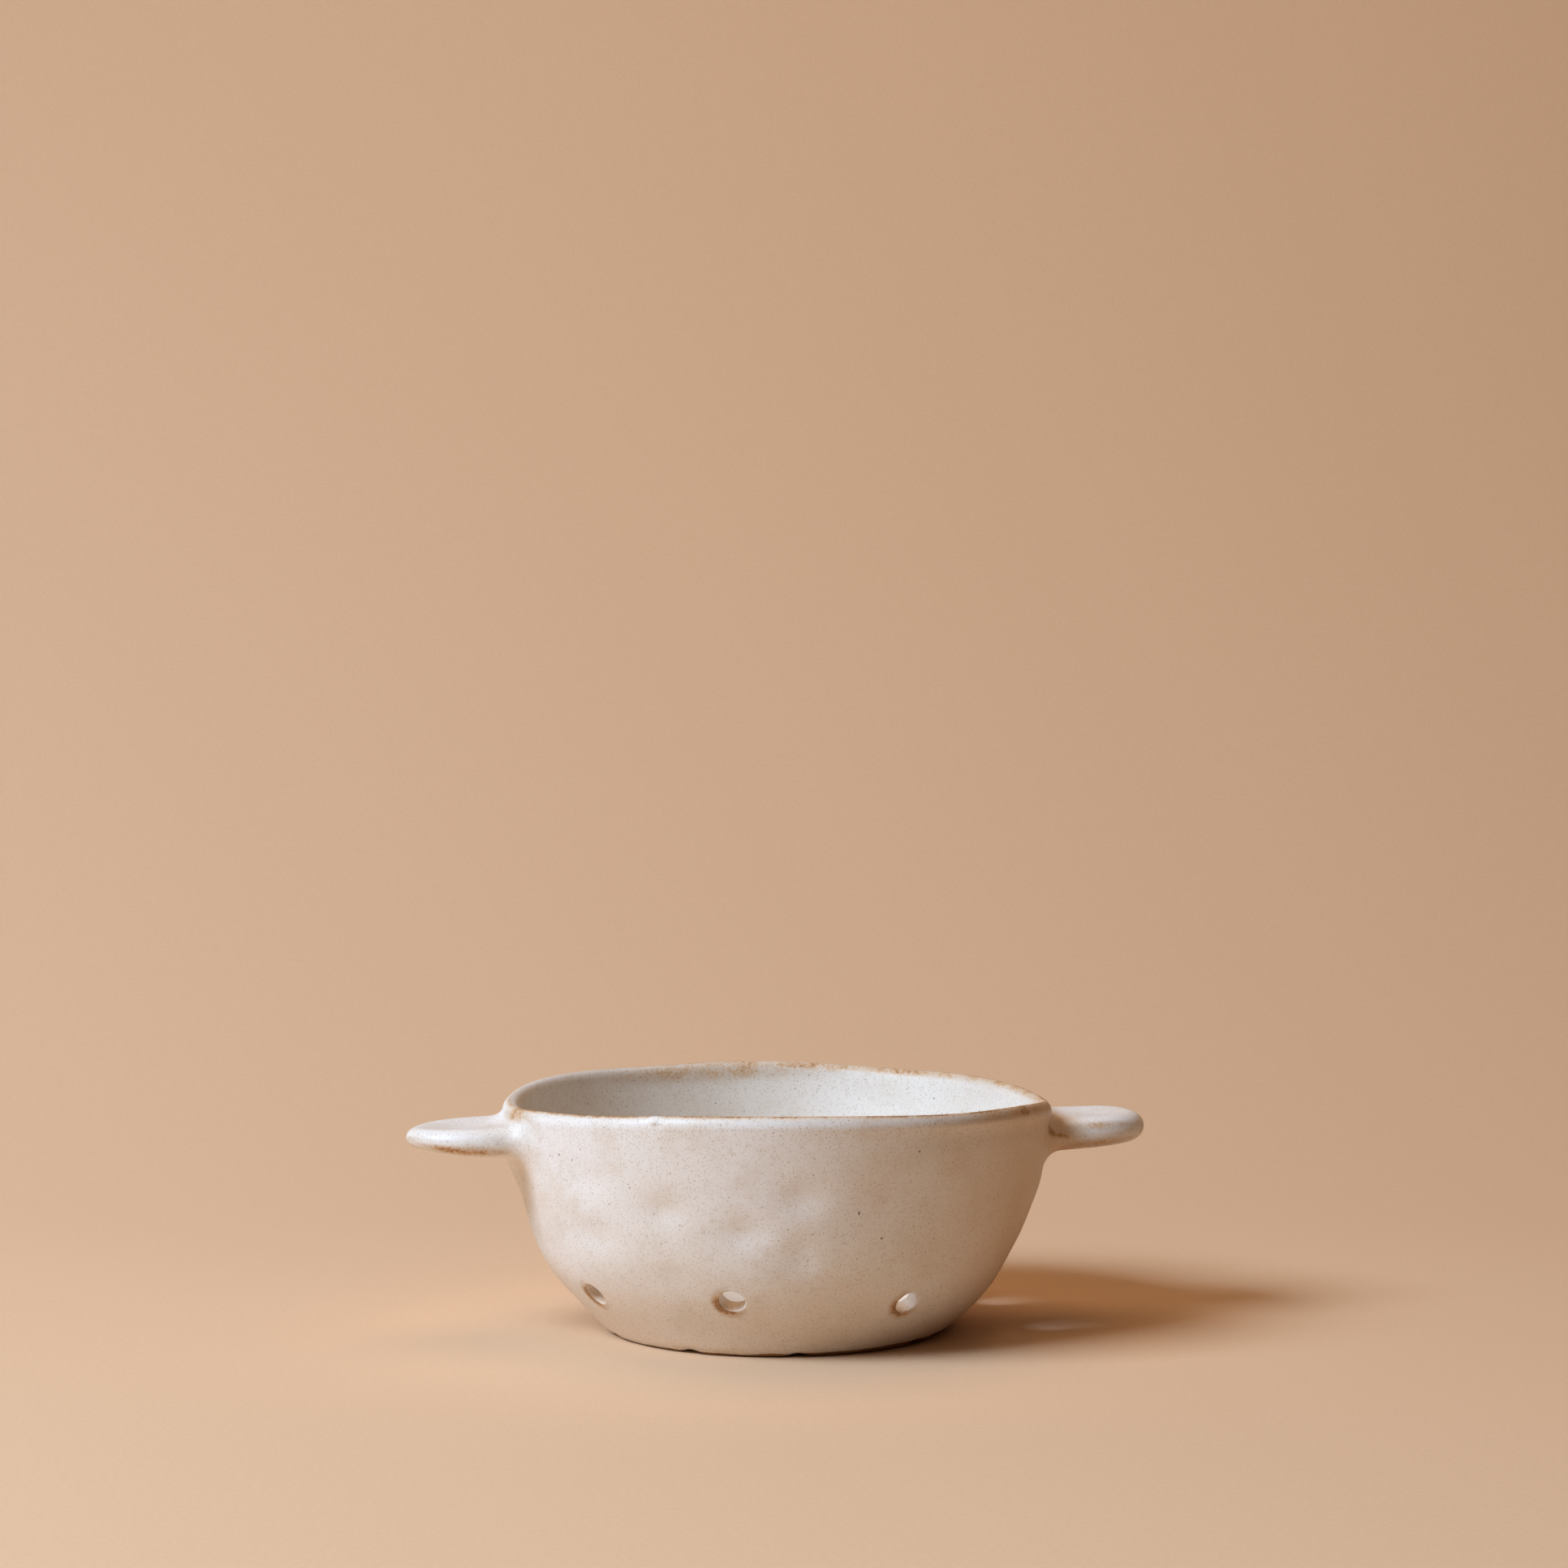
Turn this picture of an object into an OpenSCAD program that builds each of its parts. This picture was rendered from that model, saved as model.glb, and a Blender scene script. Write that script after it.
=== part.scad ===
// Small stoneware berry colander bowl, built by hand from a slab, a wall, a rim coil,
// a foot ring and two flat tongue lugs. All sizes are in millimetres.
// The origin is on the table under the middle of the bowl. +Z is up.
// The lugs point along +X and -X.

/* [Bowl] */
// Radius of the foot where it meets the table
foot_r = 46.4; // [43:0.2:50]
// Outer radius of the wall just under the lip, at the front and back
rim_r = 74.4; // [71:0.2:80]
// Height of the lip at the front and back, its highest places
rim_h = 65.5; // [62:0.1:72]
// How far the lip dips where it passes the lugs
rim_dip = 3.6; // [0:0.1:5]
// Thickness of the wall
wall_t = 4.4; // [3.6:0.1:5]

/* [Wall curve] */
// Lean of the wall from upright where it leaves the table, in degrees
foot_flare = 44.5; // [36:0.5:50]
// How far the wall keeps to that lean before it turns up
foot_swing = 27.9; // [22:0.1:32]
// Lean of the wall from upright under the lip, in degrees
rim_flare = 11.4; // [6:0.2:16]
// How far below the lip the wall takes on that lean
rim_swing = 38; // [30:0.5:42]

/* [Floor and foot] */
// Height of the bare foot ring
foot_h = 3; // [2:0.1:4]
// Width of the foot ring on the table
foot_w = 7; // [5:0.2:10]
// Thickness of the floor slab
floor_t = 5; // [4:0.1:6]
// Height over the floor at which the inside has turned up into the wall
floor_sweep_h = 6; // [5:0.2:8]
// How far the edge of the slab turns up over its floor
slab_lip_h = 2; // [1:0.1:3]
// Number of drain notches under the foot
notch_count = 9; // [5:1:12]
// Width of a drain notch
notch_w = 8; // [4:0.5:10]
// Height of a drain notch
notch_h = 0.9; // [0.5:0.1:1.5]
// Bearing of the first notch, in degrees
notch_turn = 29; // [0:1:40]

/* [Drain holes] */
// Diameter of a drain hole in the wall
hole_d = 6.8; // [5:0.1:8]
// Number of drain holes round the wall
hole_count = 8; // [4:2:10]
// Mean height of the holes on the outside of the wall
hole_z = 15.3; // [14:0.1:20]
// How far every second hole sits over the mean height, and the others under it
hole_stagger = 1; // [0:0.1:1.2]
// Slope of a hole, which drains outwards, in degrees
hole_slope = 28; // [20:1:34]
// How far the hand-set holes wander round the wall, in degrees
hole_wander = 1.3; // [0:0.1:2]
// Diameter of a drain hole in the floor
floor_hole_d = 6.8; // [5:0.1:8]
// Number of drain holes in the ring round the middle of the floor
floor_hole_count = 6; // [4:1:8]
// Radius of that ring
floor_hole_ring_r = 23; // [18:0.5:28]

/* [Lip] */
// Height of the lip's outer round
lip_h = 4.4; // [3.5:0.1:5]
// How far the lip's crest lies inside the wall's outer face
lip_crest_in = 3; // [2:0.1:3.2]
// Height of the lip's inner round
lip_inner_h = 2; // [1:0.1:3]
// Height of the rim coil's straight part where the lip is lowest
coil_foot_h = 0.6; // [0.4:0.1:4]

/* [Lugs] */
// Length of a lug from the wall to its tip
lug_l = 28.4; // [24:0.1:36]
// Width of a lug
lug_w = 34.6; // [28:0.2:40]
// Length of a lug's rounded end
lug_end = 22.5; // [18:0.5:24]
// Thickness of a lug at its root
lug_root_t = 7.6; // [6:0.1:9]
// Thickness of a lug near its tip
lug_tip_t = 6.2; // [5:0.1:7.5]
// How far the middle of a lug's root lies under the lip where it dips
lug_drop = 8.5; // [7.5:0.1:13]
// How far a lug rises towards its tip
lug_rise = 0.8; // [0:0.1:3]
// How far the left lug sits over the mean height, and the right one under it
lug_offset = 0.7; // [0:0.1:1]
// Depth of the thumb's dish in the top of a lug
dish_depth = 1.2; // [0:0.1:2]
// Length of the dish
dish_l = 30; // [20:1:36]
// Width of the dish
dish_w = 26; // [16:1:28]

/* [Root coils] */
// Thickness of the clay coil pressed round the root of a lug, at the wall
root_t = 4; // [2:0.1:5]
// How far the coil reaches out along the lug
root_reach = 6.5; // [4:0.1:8]
// Thickness of the coil's thumbed edge
root_edge_t = 0.5; // [0.3:0.05:0.8]

/* [Hidden] */
$fn = 96;

// Length that every cut runs past what it cuts
over = 1;
glaze_cream = "#e4dcd3";
glaze_white = "#e6e4df";
glaze_thin = "#d3bda3";
bare_clay = "#9a7350";

// Counts of steps along the curves
wall_steps = 16;
sweep_steps = 6;
rim_columns = 96;
coil_steps = 2;
lip_steps = 5;
lug_ring = 32;
root_steps = 6;
lug_side_steps = 3;
lug_end_steps = 11;

// Shares of the sizes that they multiply, and powers that shape the rim's dip and the lugs
round_share = 0.55;
lug_depth_share = 0.88;
root_top_share = 0.35;
dip_power = 4;
tip_power = 2.3;
edge_power = 7;

// Turns, in degrees: the last ring of a lug's rounded end, and from hole to hole along their wander
lug_end_turn = 86;
wander_turn = 135;

// Levels at which the pieces of clay meet
floor_top = foot_h + floor_t;
wall_base = floor_top + slab_lip_h;
lip_start = rim_h - lip_h;
coil_base = lip_start - rim_dip - coil_foot_h;
lug_z = rim_h - rim_dip - lug_drop;

// Ends of the wall's outer curve, and the two points that it is drawn towards
curve_foot = [foot_r, 0];
curve_rim = [rim_r, lip_start];
pull_foot = curve_foot + foot_swing * [sin(foot_flare), cos(foot_flare)];
pull_rim = curve_rim - rim_swing * [sin(rim_flare), cos(rim_flare)];

function unit(v) = v / norm(v);
function clamp(v) = min(1, max(0, v));

// A cubic curve from p towards q, and past r to s, and the way it runs
function cubic(p, q, r, s, t) =
    pow(1 - t, 3) * p + 3 * pow(1 - t, 2) * t * q + 3 * (1 - t) * t * t * r + t * t * t * s;
function cubic_way(p, q, r, s, t) =
    pow(1 - t, 2) * (q - p) + 2 * (1 - t) * t * (r - q) + t * t * (s - r);

// The wall's faces as [radius, height], for t from 0 on the table to 1 under the lip
function outer(t) = cubic(curve_foot, pull_foot, pull_rim, curve_rim, t);
function wall_way(t) = unit(cubic_way(curve_foot, pull_foot, pull_rim, curve_rim, t));
function inner(t) = outer(t) + wall_t * [-wall_way(t)[1], wall_way(t)[0]];

// The t at which a face reaches a height, found by halving the span n times
function outer_t(z, low = 0, high = 1, n = 24) =
    n == 0 ? (low + high) / 2 :
    outer((low + high) / 2)[1] < z ? outer_t(z, (low + high) / 2, high, n - 1) :
    outer_t(z, low, (low + high) / 2, n - 1);
function inner_t(z, low = 0, high = 1, n = 24) =
    n == 0 ? (low + high) / 2 :
    inner((low + high) / 2)[1] < z ? inner_t(z, (low + high) / 2, high, n - 1) :
    inner_t(z, low, (low + high) / 2, n - 1);
function outer_r(z) = outer(outer_t(z))[0];

// The inner face runs on straight where it is higher than its curve
inner_top = inner(1);
lip_way = wall_way(1);
function inner_r(z) =
    z < inner_top[1] ? inner(inner_t(z))[0] : inner_top[0] + (z - inner_top[1]) * lip_way[0] / lip_way[1];

// Points along the outer face or the inner face, the first and last exactly at the two heights
function outer_points(z1, z2, steps) = concat(
    [[outer_r(z1), z1]],
    [for (i = [1 : steps - 1]) outer(outer_t(z1) + (outer_t(z2) - outer_t(z1)) * i / steps)],
    [[outer_r(z2), z2]]);
function inner_points(z1, z2, steps) = concat(
    [[inner_r(z1), z1]],
    [for (i = [1 : steps - 1]) inner(inner_t(z1) + (inner_t(z2) - inner_t(z1)) * i / steps)],
    [[inner_r(z2), z2]]);

// The sweep inside, from the wall's inner face at t = 0 to the flat floor at t = 1
sweep_z = floor_top + floor_sweep_h;
sweep_top = [inner_r(sweep_z), sweep_z];
sweep_way = wall_way(inner_t(sweep_z));
sweep_corner = sweep_top - sweep_way * floor_sweep_h / sweep_way[1];
sweep_end = sweep_corner - [norm(sweep_top - sweep_corner), 0];
sweep_base_t = 1 - sqrt(slab_lip_h / floor_sweep_h);
function sweep(t) = pow(1 - t, 2) * sweep_top + 2 * (1 - t) * t * sweep_corner + t * t * sweep_end;
function sweep_points(t1, t2) = [for (i = [0 : sweep_steps]) sweep(t1 + (t2 - t1) * i / sweep_steps)];

// The lip's section at a bearing: height of its crest, start of its round, and points
function crest(bearing) = rim_h - rim_dip * pow(abs(cos(bearing)), dip_power);
function round_start(bearing) = crest(bearing) - lip_h;
function crest_point(bearing) = [outer_r(round_start(bearing)) - lip_crest_in, crest(bearing)];
function rim_outside(bearing) = concat(
    [for (i = [0 : coil_steps - 1])
        let (z = coil_base + (round_start(bearing) - coil_base) * i / coil_steps) [outer_r(z), z]],
    let (start = [outer_r(round_start(bearing)), round_start(bearing)], top = crest_point(bearing))
    [for (i = [0 : lip_steps])
        cubic(start, start + round_share * lip_h * lip_way,
              top + [round_share * lip_crest_in, 0], top, i / lip_steps)]);
function rim_inside(bearing) = let (
        top = crest_point(bearing),
        end_z = crest(bearing) - lip_inner_h,
        end = [inner_r(end_z), end_z])
    concat(
        [for (i = [1 : lip_steps])
            cubic(top, top - [round_share * (top[0] - end[0]), 0],
                  end + round_share * lip_inner_h * lip_way, end, i / lip_steps)],
        [for (i = [1 : coil_steps])
            let (z = end_z + (coil_base - end_z) * i / coil_steps) [inner_r(z), z]]);

// Bearing and height of drain hole k in the wall
function hole_bearing(k) = (k + 0.5) * 360 / hole_count - hole_wander * cos(wander_turn * k);
function hole_height(k) = hole_z + hole_stagger * (k % 2 == 0 ? -1 : 1);

module side_drills() {
    for (k = [0 : hole_count - 1])
        rotate([0, 0, hole_bearing(k)])
        translate([outer_r(hole_height(k)), 0, hole_height(k)])
        rotate([0, 90 + hole_slope, 0])
        cylinder(h = 2 * wall_t + hole_d, d = hole_d, center = true);
}

// One drill that goes through the floor slab and past both faces
module floor_drill() {
    translate([0, 0, foot_h - over])
        cylinder(h = floor_t + 2 * over, d = floor_hole_d);
}

// The slab at the bottom, its edge turned up, with a drain hole in the middle and a ring of them
module bowl_floor() {
    color(glaze_white)
    difference() {
        rotate_extrude()
            polygon(concat(
                [[0, foot_h]],
                outer_points(foot_h, wall_base, coil_steps),
                sweep_points(sweep_base_t, 1),
                [[0, floor_top]]));
        floor_drill();
        for (k = [0 : floor_hole_count - 1])
            rotate([0, 0, k * 360 / floor_hole_count])
            translate([floor_hole_ring_r, 0, 0])
                floor_drill();
        side_drills();
    }
}

// The pinched wall on the slab, with its drain holes
module bowl_wall() {
    color(glaze_cream)
    difference() {
        rotate_extrude()
            polygon(concat(
                outer_points(wall_base, coil_base, wall_steps),
                inner_points(coil_base, sweep_z, wall_steps),
                [for (i = [1 : sweep_steps]) sweep(sweep_base_t * i / sweep_steps)]));
        side_drills();
    }
}

// The last coil, rolled over into the lip, which dips where it passes the lugs
module rim_coil() {
    sections = [for (k = [0 : rim_columns - 1])
        let (bearing = k * 360 / rim_columns)
        [for (p = concat(rim_outside(bearing), rim_inside(bearing)))
            [p[0] * cos(bearing), p[0] * sin(bearing), p[1]]]];
    count = len(sections[0]);
    function at(k, j) = (k % rim_columns) * count + j % count;
    color(glaze_thin)
    polyhedron(
        [for (section = sections) each section],
        [for (k = [0 : rim_columns - 1], j = [0 : count - 1]) each [
            [at(k, j), at(k, j + 1), at(k + 1, j + 1)],
            [at(k, j), at(k + 1, j + 1), at(k + 1, j)]]]);
}

// The ring of bare clay that the bowl stands on, notched so that water runs out from under it
module foot_ring() {
    notch_round = (pow(notch_w / 2, 2) + pow(notch_h, 2)) / (2 * notch_h);
    color(bare_clay)
    difference() {
        rotate_extrude()
            polygon(concat(
                outer_points(0, foot_h, coil_steps),
                [[foot_r - foot_w, foot_h], [foot_r - foot_w, 0]]));
        for (k = [0 : notch_count - 1])
            rotate([0, 0, notch_turn + k * 360 / notch_count])
            translate([foot_r - foot_w - over, 0, notch_h - notch_round])
            rotate([0, 90, 0])
                cylinder(h = outer_r(foot_h) - foot_r + foot_w + 2 * over, r = notch_round);
    }
}

// Where a lug starts inside the wall, where the root coil ends, and where its end begins to round
lug_wall_r = outer_r(lug_z);
lug_reach = lug_wall_r + lug_l;
lug_in = lug_depth_share * lug_wall_r;
root_out = lug_wall_r + root_reach;
lug_bend = lug_reach - lug_end;
dish_x = (lug_wall_r + lug_reach) / 2;

// Stations along a lug: those that its root coil shares, then the side, then the rounded end
root_stations = [for (i = [0 : root_steps]) lug_in + (root_out - lug_in) * i / root_steps];
end_start = max(lug_bend, root_out);
end_turn = asin((end_start - lug_bend) / lug_end);
side_stations = [for (i = [1 : lug_side_steps]) root_out + (end_start - root_out) * i / lug_side_steps];
end_stations = [for (i = [1 : lug_end_steps])
    lug_bend + lug_end * sin(end_turn + (lug_end_turn - end_turn) * i / lug_end_steps)];
lug_stations = concat(root_stations, end_start > root_out ? side_stations : [], end_stations);

// A lug's half width, half thickness and middle height at x
function along(x) = clamp((x - lug_wall_r) / (lug_reach - lug_wall_r));
function end_share(x) = clamp((x - lug_bend) / lug_end);
function lug_half_w(x) = lug_w / 2 * pow(1 - pow(end_share(x), tip_power), 1 / tip_power);
function lug_half_t(x) = (lug_root_t + (lug_tip_t - lug_root_t) * along(x)) / 2;
function lug_mid_z(x) = lug_z + lug_rise * along(x);

// How far a place is from the lug's middle line to its edge, from 0 to 1
function edge_share(x, y) =
    pow(pow(end_share(x), tip_power) + pow(abs(y) / (lug_w / 2), tip_power), 1 / tip_power);
function lug_swell(x, y) = sqrt(max(0, 1 - pow(min(1, edge_share(x, y)), edge_power)));
function dish(x, y) =
    dish_depth * pow(clamp(1 - pow((x - dish_x) / (dish_l / 2), 2) - pow(y / (dish_w / 2), 2)), 2);

// The lug's skin at x, turned by a round its section, and the same skin under the root coil's thickness
function lug_skin(x, a) = let (
        y = lug_half_w(x) * cos(a),
        top = a < 180 ? 1 : -1)
    [x, y, lug_mid_z(x) + top * lug_half_t(x) * lug_swell(x, y) - (top > 0 ? dish(x, y) : 0)];
function skin_way(a) = let (
        c = cos(a),
        s = sqrt(max(0, 1 - pow(abs(c), edge_power))) * (a < 180 ? 1 : -1))
    unit([edge_power * pow(abs(c), edge_power - 1) * sign(c) / (lug_w / 2), 2 * s / (lug_root_t / 2)]);
function root_thickness(p, way) = let (
        out = clamp((norm([p[0], p[1]]) - outer_r(p[2])) / root_reach),
        side = 1 - (1 - root_top_share) * clamp(way[1]))
    root_edge_t + (root_t * side - root_edge_t) * pow(1 - out, 2);
function root_skin(x, a) = let (
        p = lug_skin(x, a),
        way = skin_way(a),
        t = root_thickness(p, way))
    p + t * [0, way[0], way[1]];
lug_angles = [for (j = [0 : lug_ring - 1]) (j + 0.5) * 360 / lug_ring];

// The solid inside the bowl's outer face, which the lugs and their coils are fitted against
root_bearing = asin((lug_w / 2 + root_t) / lug_wall_r);
module bowl_body() {
    rotate_extrude()
        polygon(concat(
            [[0, wall_base]],
            outer_points(wall_base, coil_base, wall_steps),
            [for (p = rim_outside(root_bearing)) if (p[1] > coil_base) p],
            [[0, crest(root_bearing)]]));
}

// A lug on the +X side, raised by lift: rings of skin from inside the wall to the tip, closed by two fans
module lug(lift) {
    last = len(lug_stations) - 1;
    ends = [[lug_in, 0, lug_mid_z(lug_in)], [lug_reach, 0, lug_mid_z(lug_reach)]];
    function at(i, j) = i * lug_ring + j % lug_ring;
    hub = (last + 1) * lug_ring;
    difference() {
        translate([0, 0, lift])
        polyhedron(
            concat([for (x = lug_stations, a = lug_angles) lug_skin(x, a)], ends),
            concat(
                [for (i = [0 : last - 1], j = [0 : lug_ring - 1]) each [
                    [at(i, j), at(i + 1, j), at(i + 1, j + 1)],
                    [at(i, j), at(i + 1, j + 1), at(i, j + 1)]]],
                [for (j = [0 : lug_ring - 1]) [hub, at(0, j), at(0, j + 1)]],
                [for (j = [0 : lug_ring - 1]) [hub + 1, at(last, j + 1), at(last, j)]]));
        bowl_body();
    }
}

// The coil of clay round a lug's root: its inner skin is the lug's own, its outer skin thins outwards
module root_coil(lift) {
    function coil_at(i, j) = 2 * i * lug_ring + j % lug_ring;
    function lug_at(i, j) = (2 * i + 1) * lug_ring + j % lug_ring;
    difference() {
        translate([0, 0, lift])
        polyhedron(
            [for (x = root_stations) each concat(
                [for (a = lug_angles) root_skin(x, a)],
                [for (a = lug_angles) lug_skin(x, a)])],
            concat(
                [for (i = [0 : root_steps - 1], j = [0 : lug_ring - 1]) each [
                    [coil_at(i, j), coil_at(i + 1, j), coil_at(i + 1, j + 1)],
                    [coil_at(i, j), coil_at(i + 1, j + 1), coil_at(i, j + 1)],
                    [lug_at(i, j), lug_at(i + 1, j + 1), lug_at(i + 1, j)],
                    [lug_at(i, j), lug_at(i, j + 1), lug_at(i + 1, j + 1)]]],
                [for (j = [0 : lug_ring - 1]) each [
                    [coil_at(0, j), coil_at(0, j + 1), lug_at(0, j + 1)],
                    [coil_at(0, j), lug_at(0, j + 1), lug_at(0, j)],
                    [coil_at(root_steps, j), lug_at(root_steps, j + 1), coil_at(root_steps, j + 1)],
                    [coil_at(root_steps, j), lug_at(root_steps, j), lug_at(root_steps, j + 1)]]]));
        bowl_body();
    }
}

module left_handle() {
    color(glaze_cream)
    mirror([1, 0, 0])
        lug(lug_offset);
}

module right_handle() {
    color(glaze_cream)
        lug(-lug_offset);
}

module left_handle_root_coil() {
    color(glaze_white)
    mirror([1, 0, 0])
        root_coil(lug_offset);
}

module right_handle_root_coil() {
    color(glaze_white)
        root_coil(-lug_offset);
}

bowl_floor();
bowl_wall();
rim_coil();
foot_ring();
left_handle();
right_handle();
left_handle_root_coil();
right_handle_root_coil();
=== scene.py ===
# %% [markdown]
# # A small stoneware berry colander bowl
#
# A berry bowl is a bowl that drains: fruit is rinsed in it and the water leaves through holes low
# in the wall and in the floor. This one is built by hand from a slab, a wall, a coil for the lip,
# a foot ring and two tongue lugs, and dipped in a satin white glaze.
#
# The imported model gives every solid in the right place. Here each solid gets a finer skin that
# shows what hands and glaze do: soft dents, a rim that isn't level, rounded drain holes and lugs
# that flow into the wall. Lengths are in millimetres until a mesh is made. Bearings go round in
# degrees: 0 at the right lug, 90 at the back, 180 at the left lug.

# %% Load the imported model
from functools import partial
from types import SimpleNamespace

import bpy
import numpy as np
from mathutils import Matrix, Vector


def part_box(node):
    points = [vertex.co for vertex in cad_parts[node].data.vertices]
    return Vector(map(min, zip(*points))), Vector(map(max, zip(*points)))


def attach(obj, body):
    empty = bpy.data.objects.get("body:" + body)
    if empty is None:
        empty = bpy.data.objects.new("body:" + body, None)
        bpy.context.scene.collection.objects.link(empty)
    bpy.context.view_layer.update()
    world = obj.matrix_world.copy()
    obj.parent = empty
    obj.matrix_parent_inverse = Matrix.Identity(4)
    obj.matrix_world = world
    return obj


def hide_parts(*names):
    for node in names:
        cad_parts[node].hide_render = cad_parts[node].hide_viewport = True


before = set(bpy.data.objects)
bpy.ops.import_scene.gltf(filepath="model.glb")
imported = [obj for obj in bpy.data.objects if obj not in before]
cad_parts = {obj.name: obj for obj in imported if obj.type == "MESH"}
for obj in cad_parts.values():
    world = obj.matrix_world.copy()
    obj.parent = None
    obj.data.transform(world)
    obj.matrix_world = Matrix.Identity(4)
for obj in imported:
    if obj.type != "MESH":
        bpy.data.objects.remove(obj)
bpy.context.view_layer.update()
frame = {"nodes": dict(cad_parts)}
scene = bpy.context.scene
MM = 0.001
print("nodes:", ", ".join(frame["nodes"]))

# %% [markdown]
# ## The wall's curve
#
# A pinched wall has one smooth belly curve. It could be a turned spline object, but a function that
# gives a radius for every height also lets dents, holes and lugs find their place on it. The outer
# face is one cubic curve from the foot to the lip, and the inner face runs beside it at the wall's
# thickness, then sweeps into the flat floor.

# %% Sizes of the clay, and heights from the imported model
FOOT_R, WALL_T, SLAB_T, LIP_COIL_H = 46.4, 4.4, 5, 4.4
coil_low, coil_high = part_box("rim_coil")
HIGHEST, RIM_R, COIL_BASE = coil_high[2] / MM, coil_high[1] / MM, coil_low[2] / MM
WALL_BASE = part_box("bowl_wall")[0][2] / MM
FOOT_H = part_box("foot_ring")[1][2] / MM
FLOOR_TOP = FOOT_H + SLAB_T
WALL_TOP = HIGHEST - LIP_COIL_H
print("heights of the floor, the coil and the lip:", np.round([FLOOR_TOP, COIL_BASE, HIGHEST], 1))


# %% Two kinds of curve, and a step up the wall
def cubic(p, q, r, s, t):
    """A cubic curve: it leaves p towards q and arrives at s from r, t running from 0 to 1."""
    t = np.asarray(t, float)[..., None]
    return (1 - t) ** 3 * p + 3 * (1 - t) ** 2 * t * q + 3 * (1 - t) * t ** 2 * r + t ** 3 * s


def rounded(start, corner, end, t):
    """A rounded corner: a curve from start to end, drawn towards the corner, t running from 0 to 1."""
    t = np.asarray(t, float)[..., None]
    return (1 - t) ** 2 * start + 2 * (1 - t) * t * corner + t ** 2 * end


def heading(lean):
    """A step of length 1 up the wall's section, leaning outwards by some degrees from upright."""
    return np.array([np.sin(np.radians(lean)), np.cos(np.radians(lean))])


def unit(ways):
    """Ways brought to length 1."""
    return ways / np.linalg.norm(ways, axis=-1, keepdims=True)


def steps(n):
    """A column of n even steps from 0 to 1."""
    return np.linspace(0, 1, n)[:, None]


# %% The outer face of the wall
FOOT_WAY, FOOT_PULL = heading(44.5), 27.9
LIP_WAY, LIP_PULL = heading(11.4), 38
foot_point = np.array([FOOT_R, 0.0])
rim_point = np.array([RIM_R, WALL_TOP])
curve = cubic(foot_point, foot_point + FOOT_PULL * FOOT_WAY, rim_point - LIP_PULL * LIP_WAY, rim_point,
              np.linspace(0, 1, 1201))
# Both faces go on straight past the curve's end, as the lip's round starts above it in places
straight_on = np.array([[0.1], [6.0]]) * LIP_WAY
outer_face = np.concatenate([curve, rim_point + straight_on])
print("wall radius at the foot, the middle and the lip:",
      np.interp([0, HIGHEST / 2, WALL_TOP], curve[:, 1], curve[:, 0]).round(1))

# %% The inner face, which sweeps into the floor
SWEEP_H = 6
way = unit(np.gradient(curve, axis=0))
inner_curve = curve + WALL_T * np.stack([-way[:, 1], way[:, 0]], axis=1)
sweep_i = np.searchsorted(inner_curve[:, 1], FLOOR_TOP + SWEEP_H)
sweep_top = inner_curve[sweep_i]
sweep_corner = sweep_top - way[sweep_i] * (sweep_top[1] - FLOOR_TOP) / way[sweep_i][1]
sweep_end = sweep_corner - [np.linalg.norm(sweep_top - sweep_corner), 0]
sweep_share = np.linspace(0, 1, 60)
sweep = rounded(sweep_end, sweep_corner, sweep_top, sweep_share)
inner_face = np.concatenate([sweep, inner_curve[sweep_i + 1:], inner_curve[-1] + straight_on])
FLAT_R = sweep_end[0]
print(f"radius of the flat floor: {FLAT_R:.1f} mm")

# %% [markdown]
# ## What the hands left
#
# Fingers press soft clay in and push it out again, so a pinched wall is never quite round. The
# dents could be a bump texture, but a bump doesn't move the outline. Here each press is a
# bell-shaped dent with a bearing, a height, a width, a tallness and a depth, and the wall's radius
# is the plain curve less all of them. The first ones are those that the light picks out on the
# front, the next ones give the belly its uneven shape, and a seeded generator draws the rest.

# %% Presses in the wall
# Bearing, height, half width, half height, depth
front_presses = [
    (-127, 40, 6.5, 4.5, 1), (-97, 44.5, 5.5, 4.5, 0.8), (-146, 47, 6, 4.5, 0.65),
    (-146, 32, 6, 4, 0.75), (-109.5, 35, 6, 4.5, 0.9), (-97, 29.5, 5, 5, 0.75), (-80, 42, 9, 9, 0.4),
    (-62, 33, 9, 8, 0.3), (-162, 24, 8, 5, 0.35), (-128, 22, 8, 4, 0.25)]
# A depth under 0 pushes the clay out: the belly is fuller under both lugs, and the foot in front
bellies = [
    (168, 19, 34, 9.5, -1.15), (168, 33, 30, 10, -0.35), (171, 43.5, 21, 4.6, -1.35),
    (168, 60, 26, 5, -0.8), (-12, 20.5, 34, 6.5, 0.85), (-12, 41.5, 30, 7.5, -1.1),
    (-35, 1.5, 26, 4.5, 1.5), (-112, 1, 40, 5, -1.5)]
rng = np.random.default_rng(11)
n_presses = 34
other_presses = np.stack([
    rng.uniform(-35, 215, n_presses), rng.uniform(18, 52, n_presses), rng.uniform(5, 9, n_presses),
    rng.uniform(4, 7, n_presses), rng.uniform(-0.15, 0.42, n_presses)], axis=1)
presses = np.concatenate([front_presses, bellies, other_presses])
print(len(presses), "presses, the deepest", presses[:, 4].max(), "mm")


# %% How deep the wall is pressed at any place
PRESS_R = 68.0
WAVE_H, RIPPLE_H, STEADY_BELOW = 0.14, 0.1, 20


def off(bearing, at):
    """How many degrees a bearing lies past another, from -180 to 180."""
    return (bearing - at + 180) % 360 - 180


def bell(away, wide):
    """A bell: 1 where away is 0, a third where it equals wide, and almost 0 at twice that."""
    return np.exp(-(away / wide) ** 2)


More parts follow.
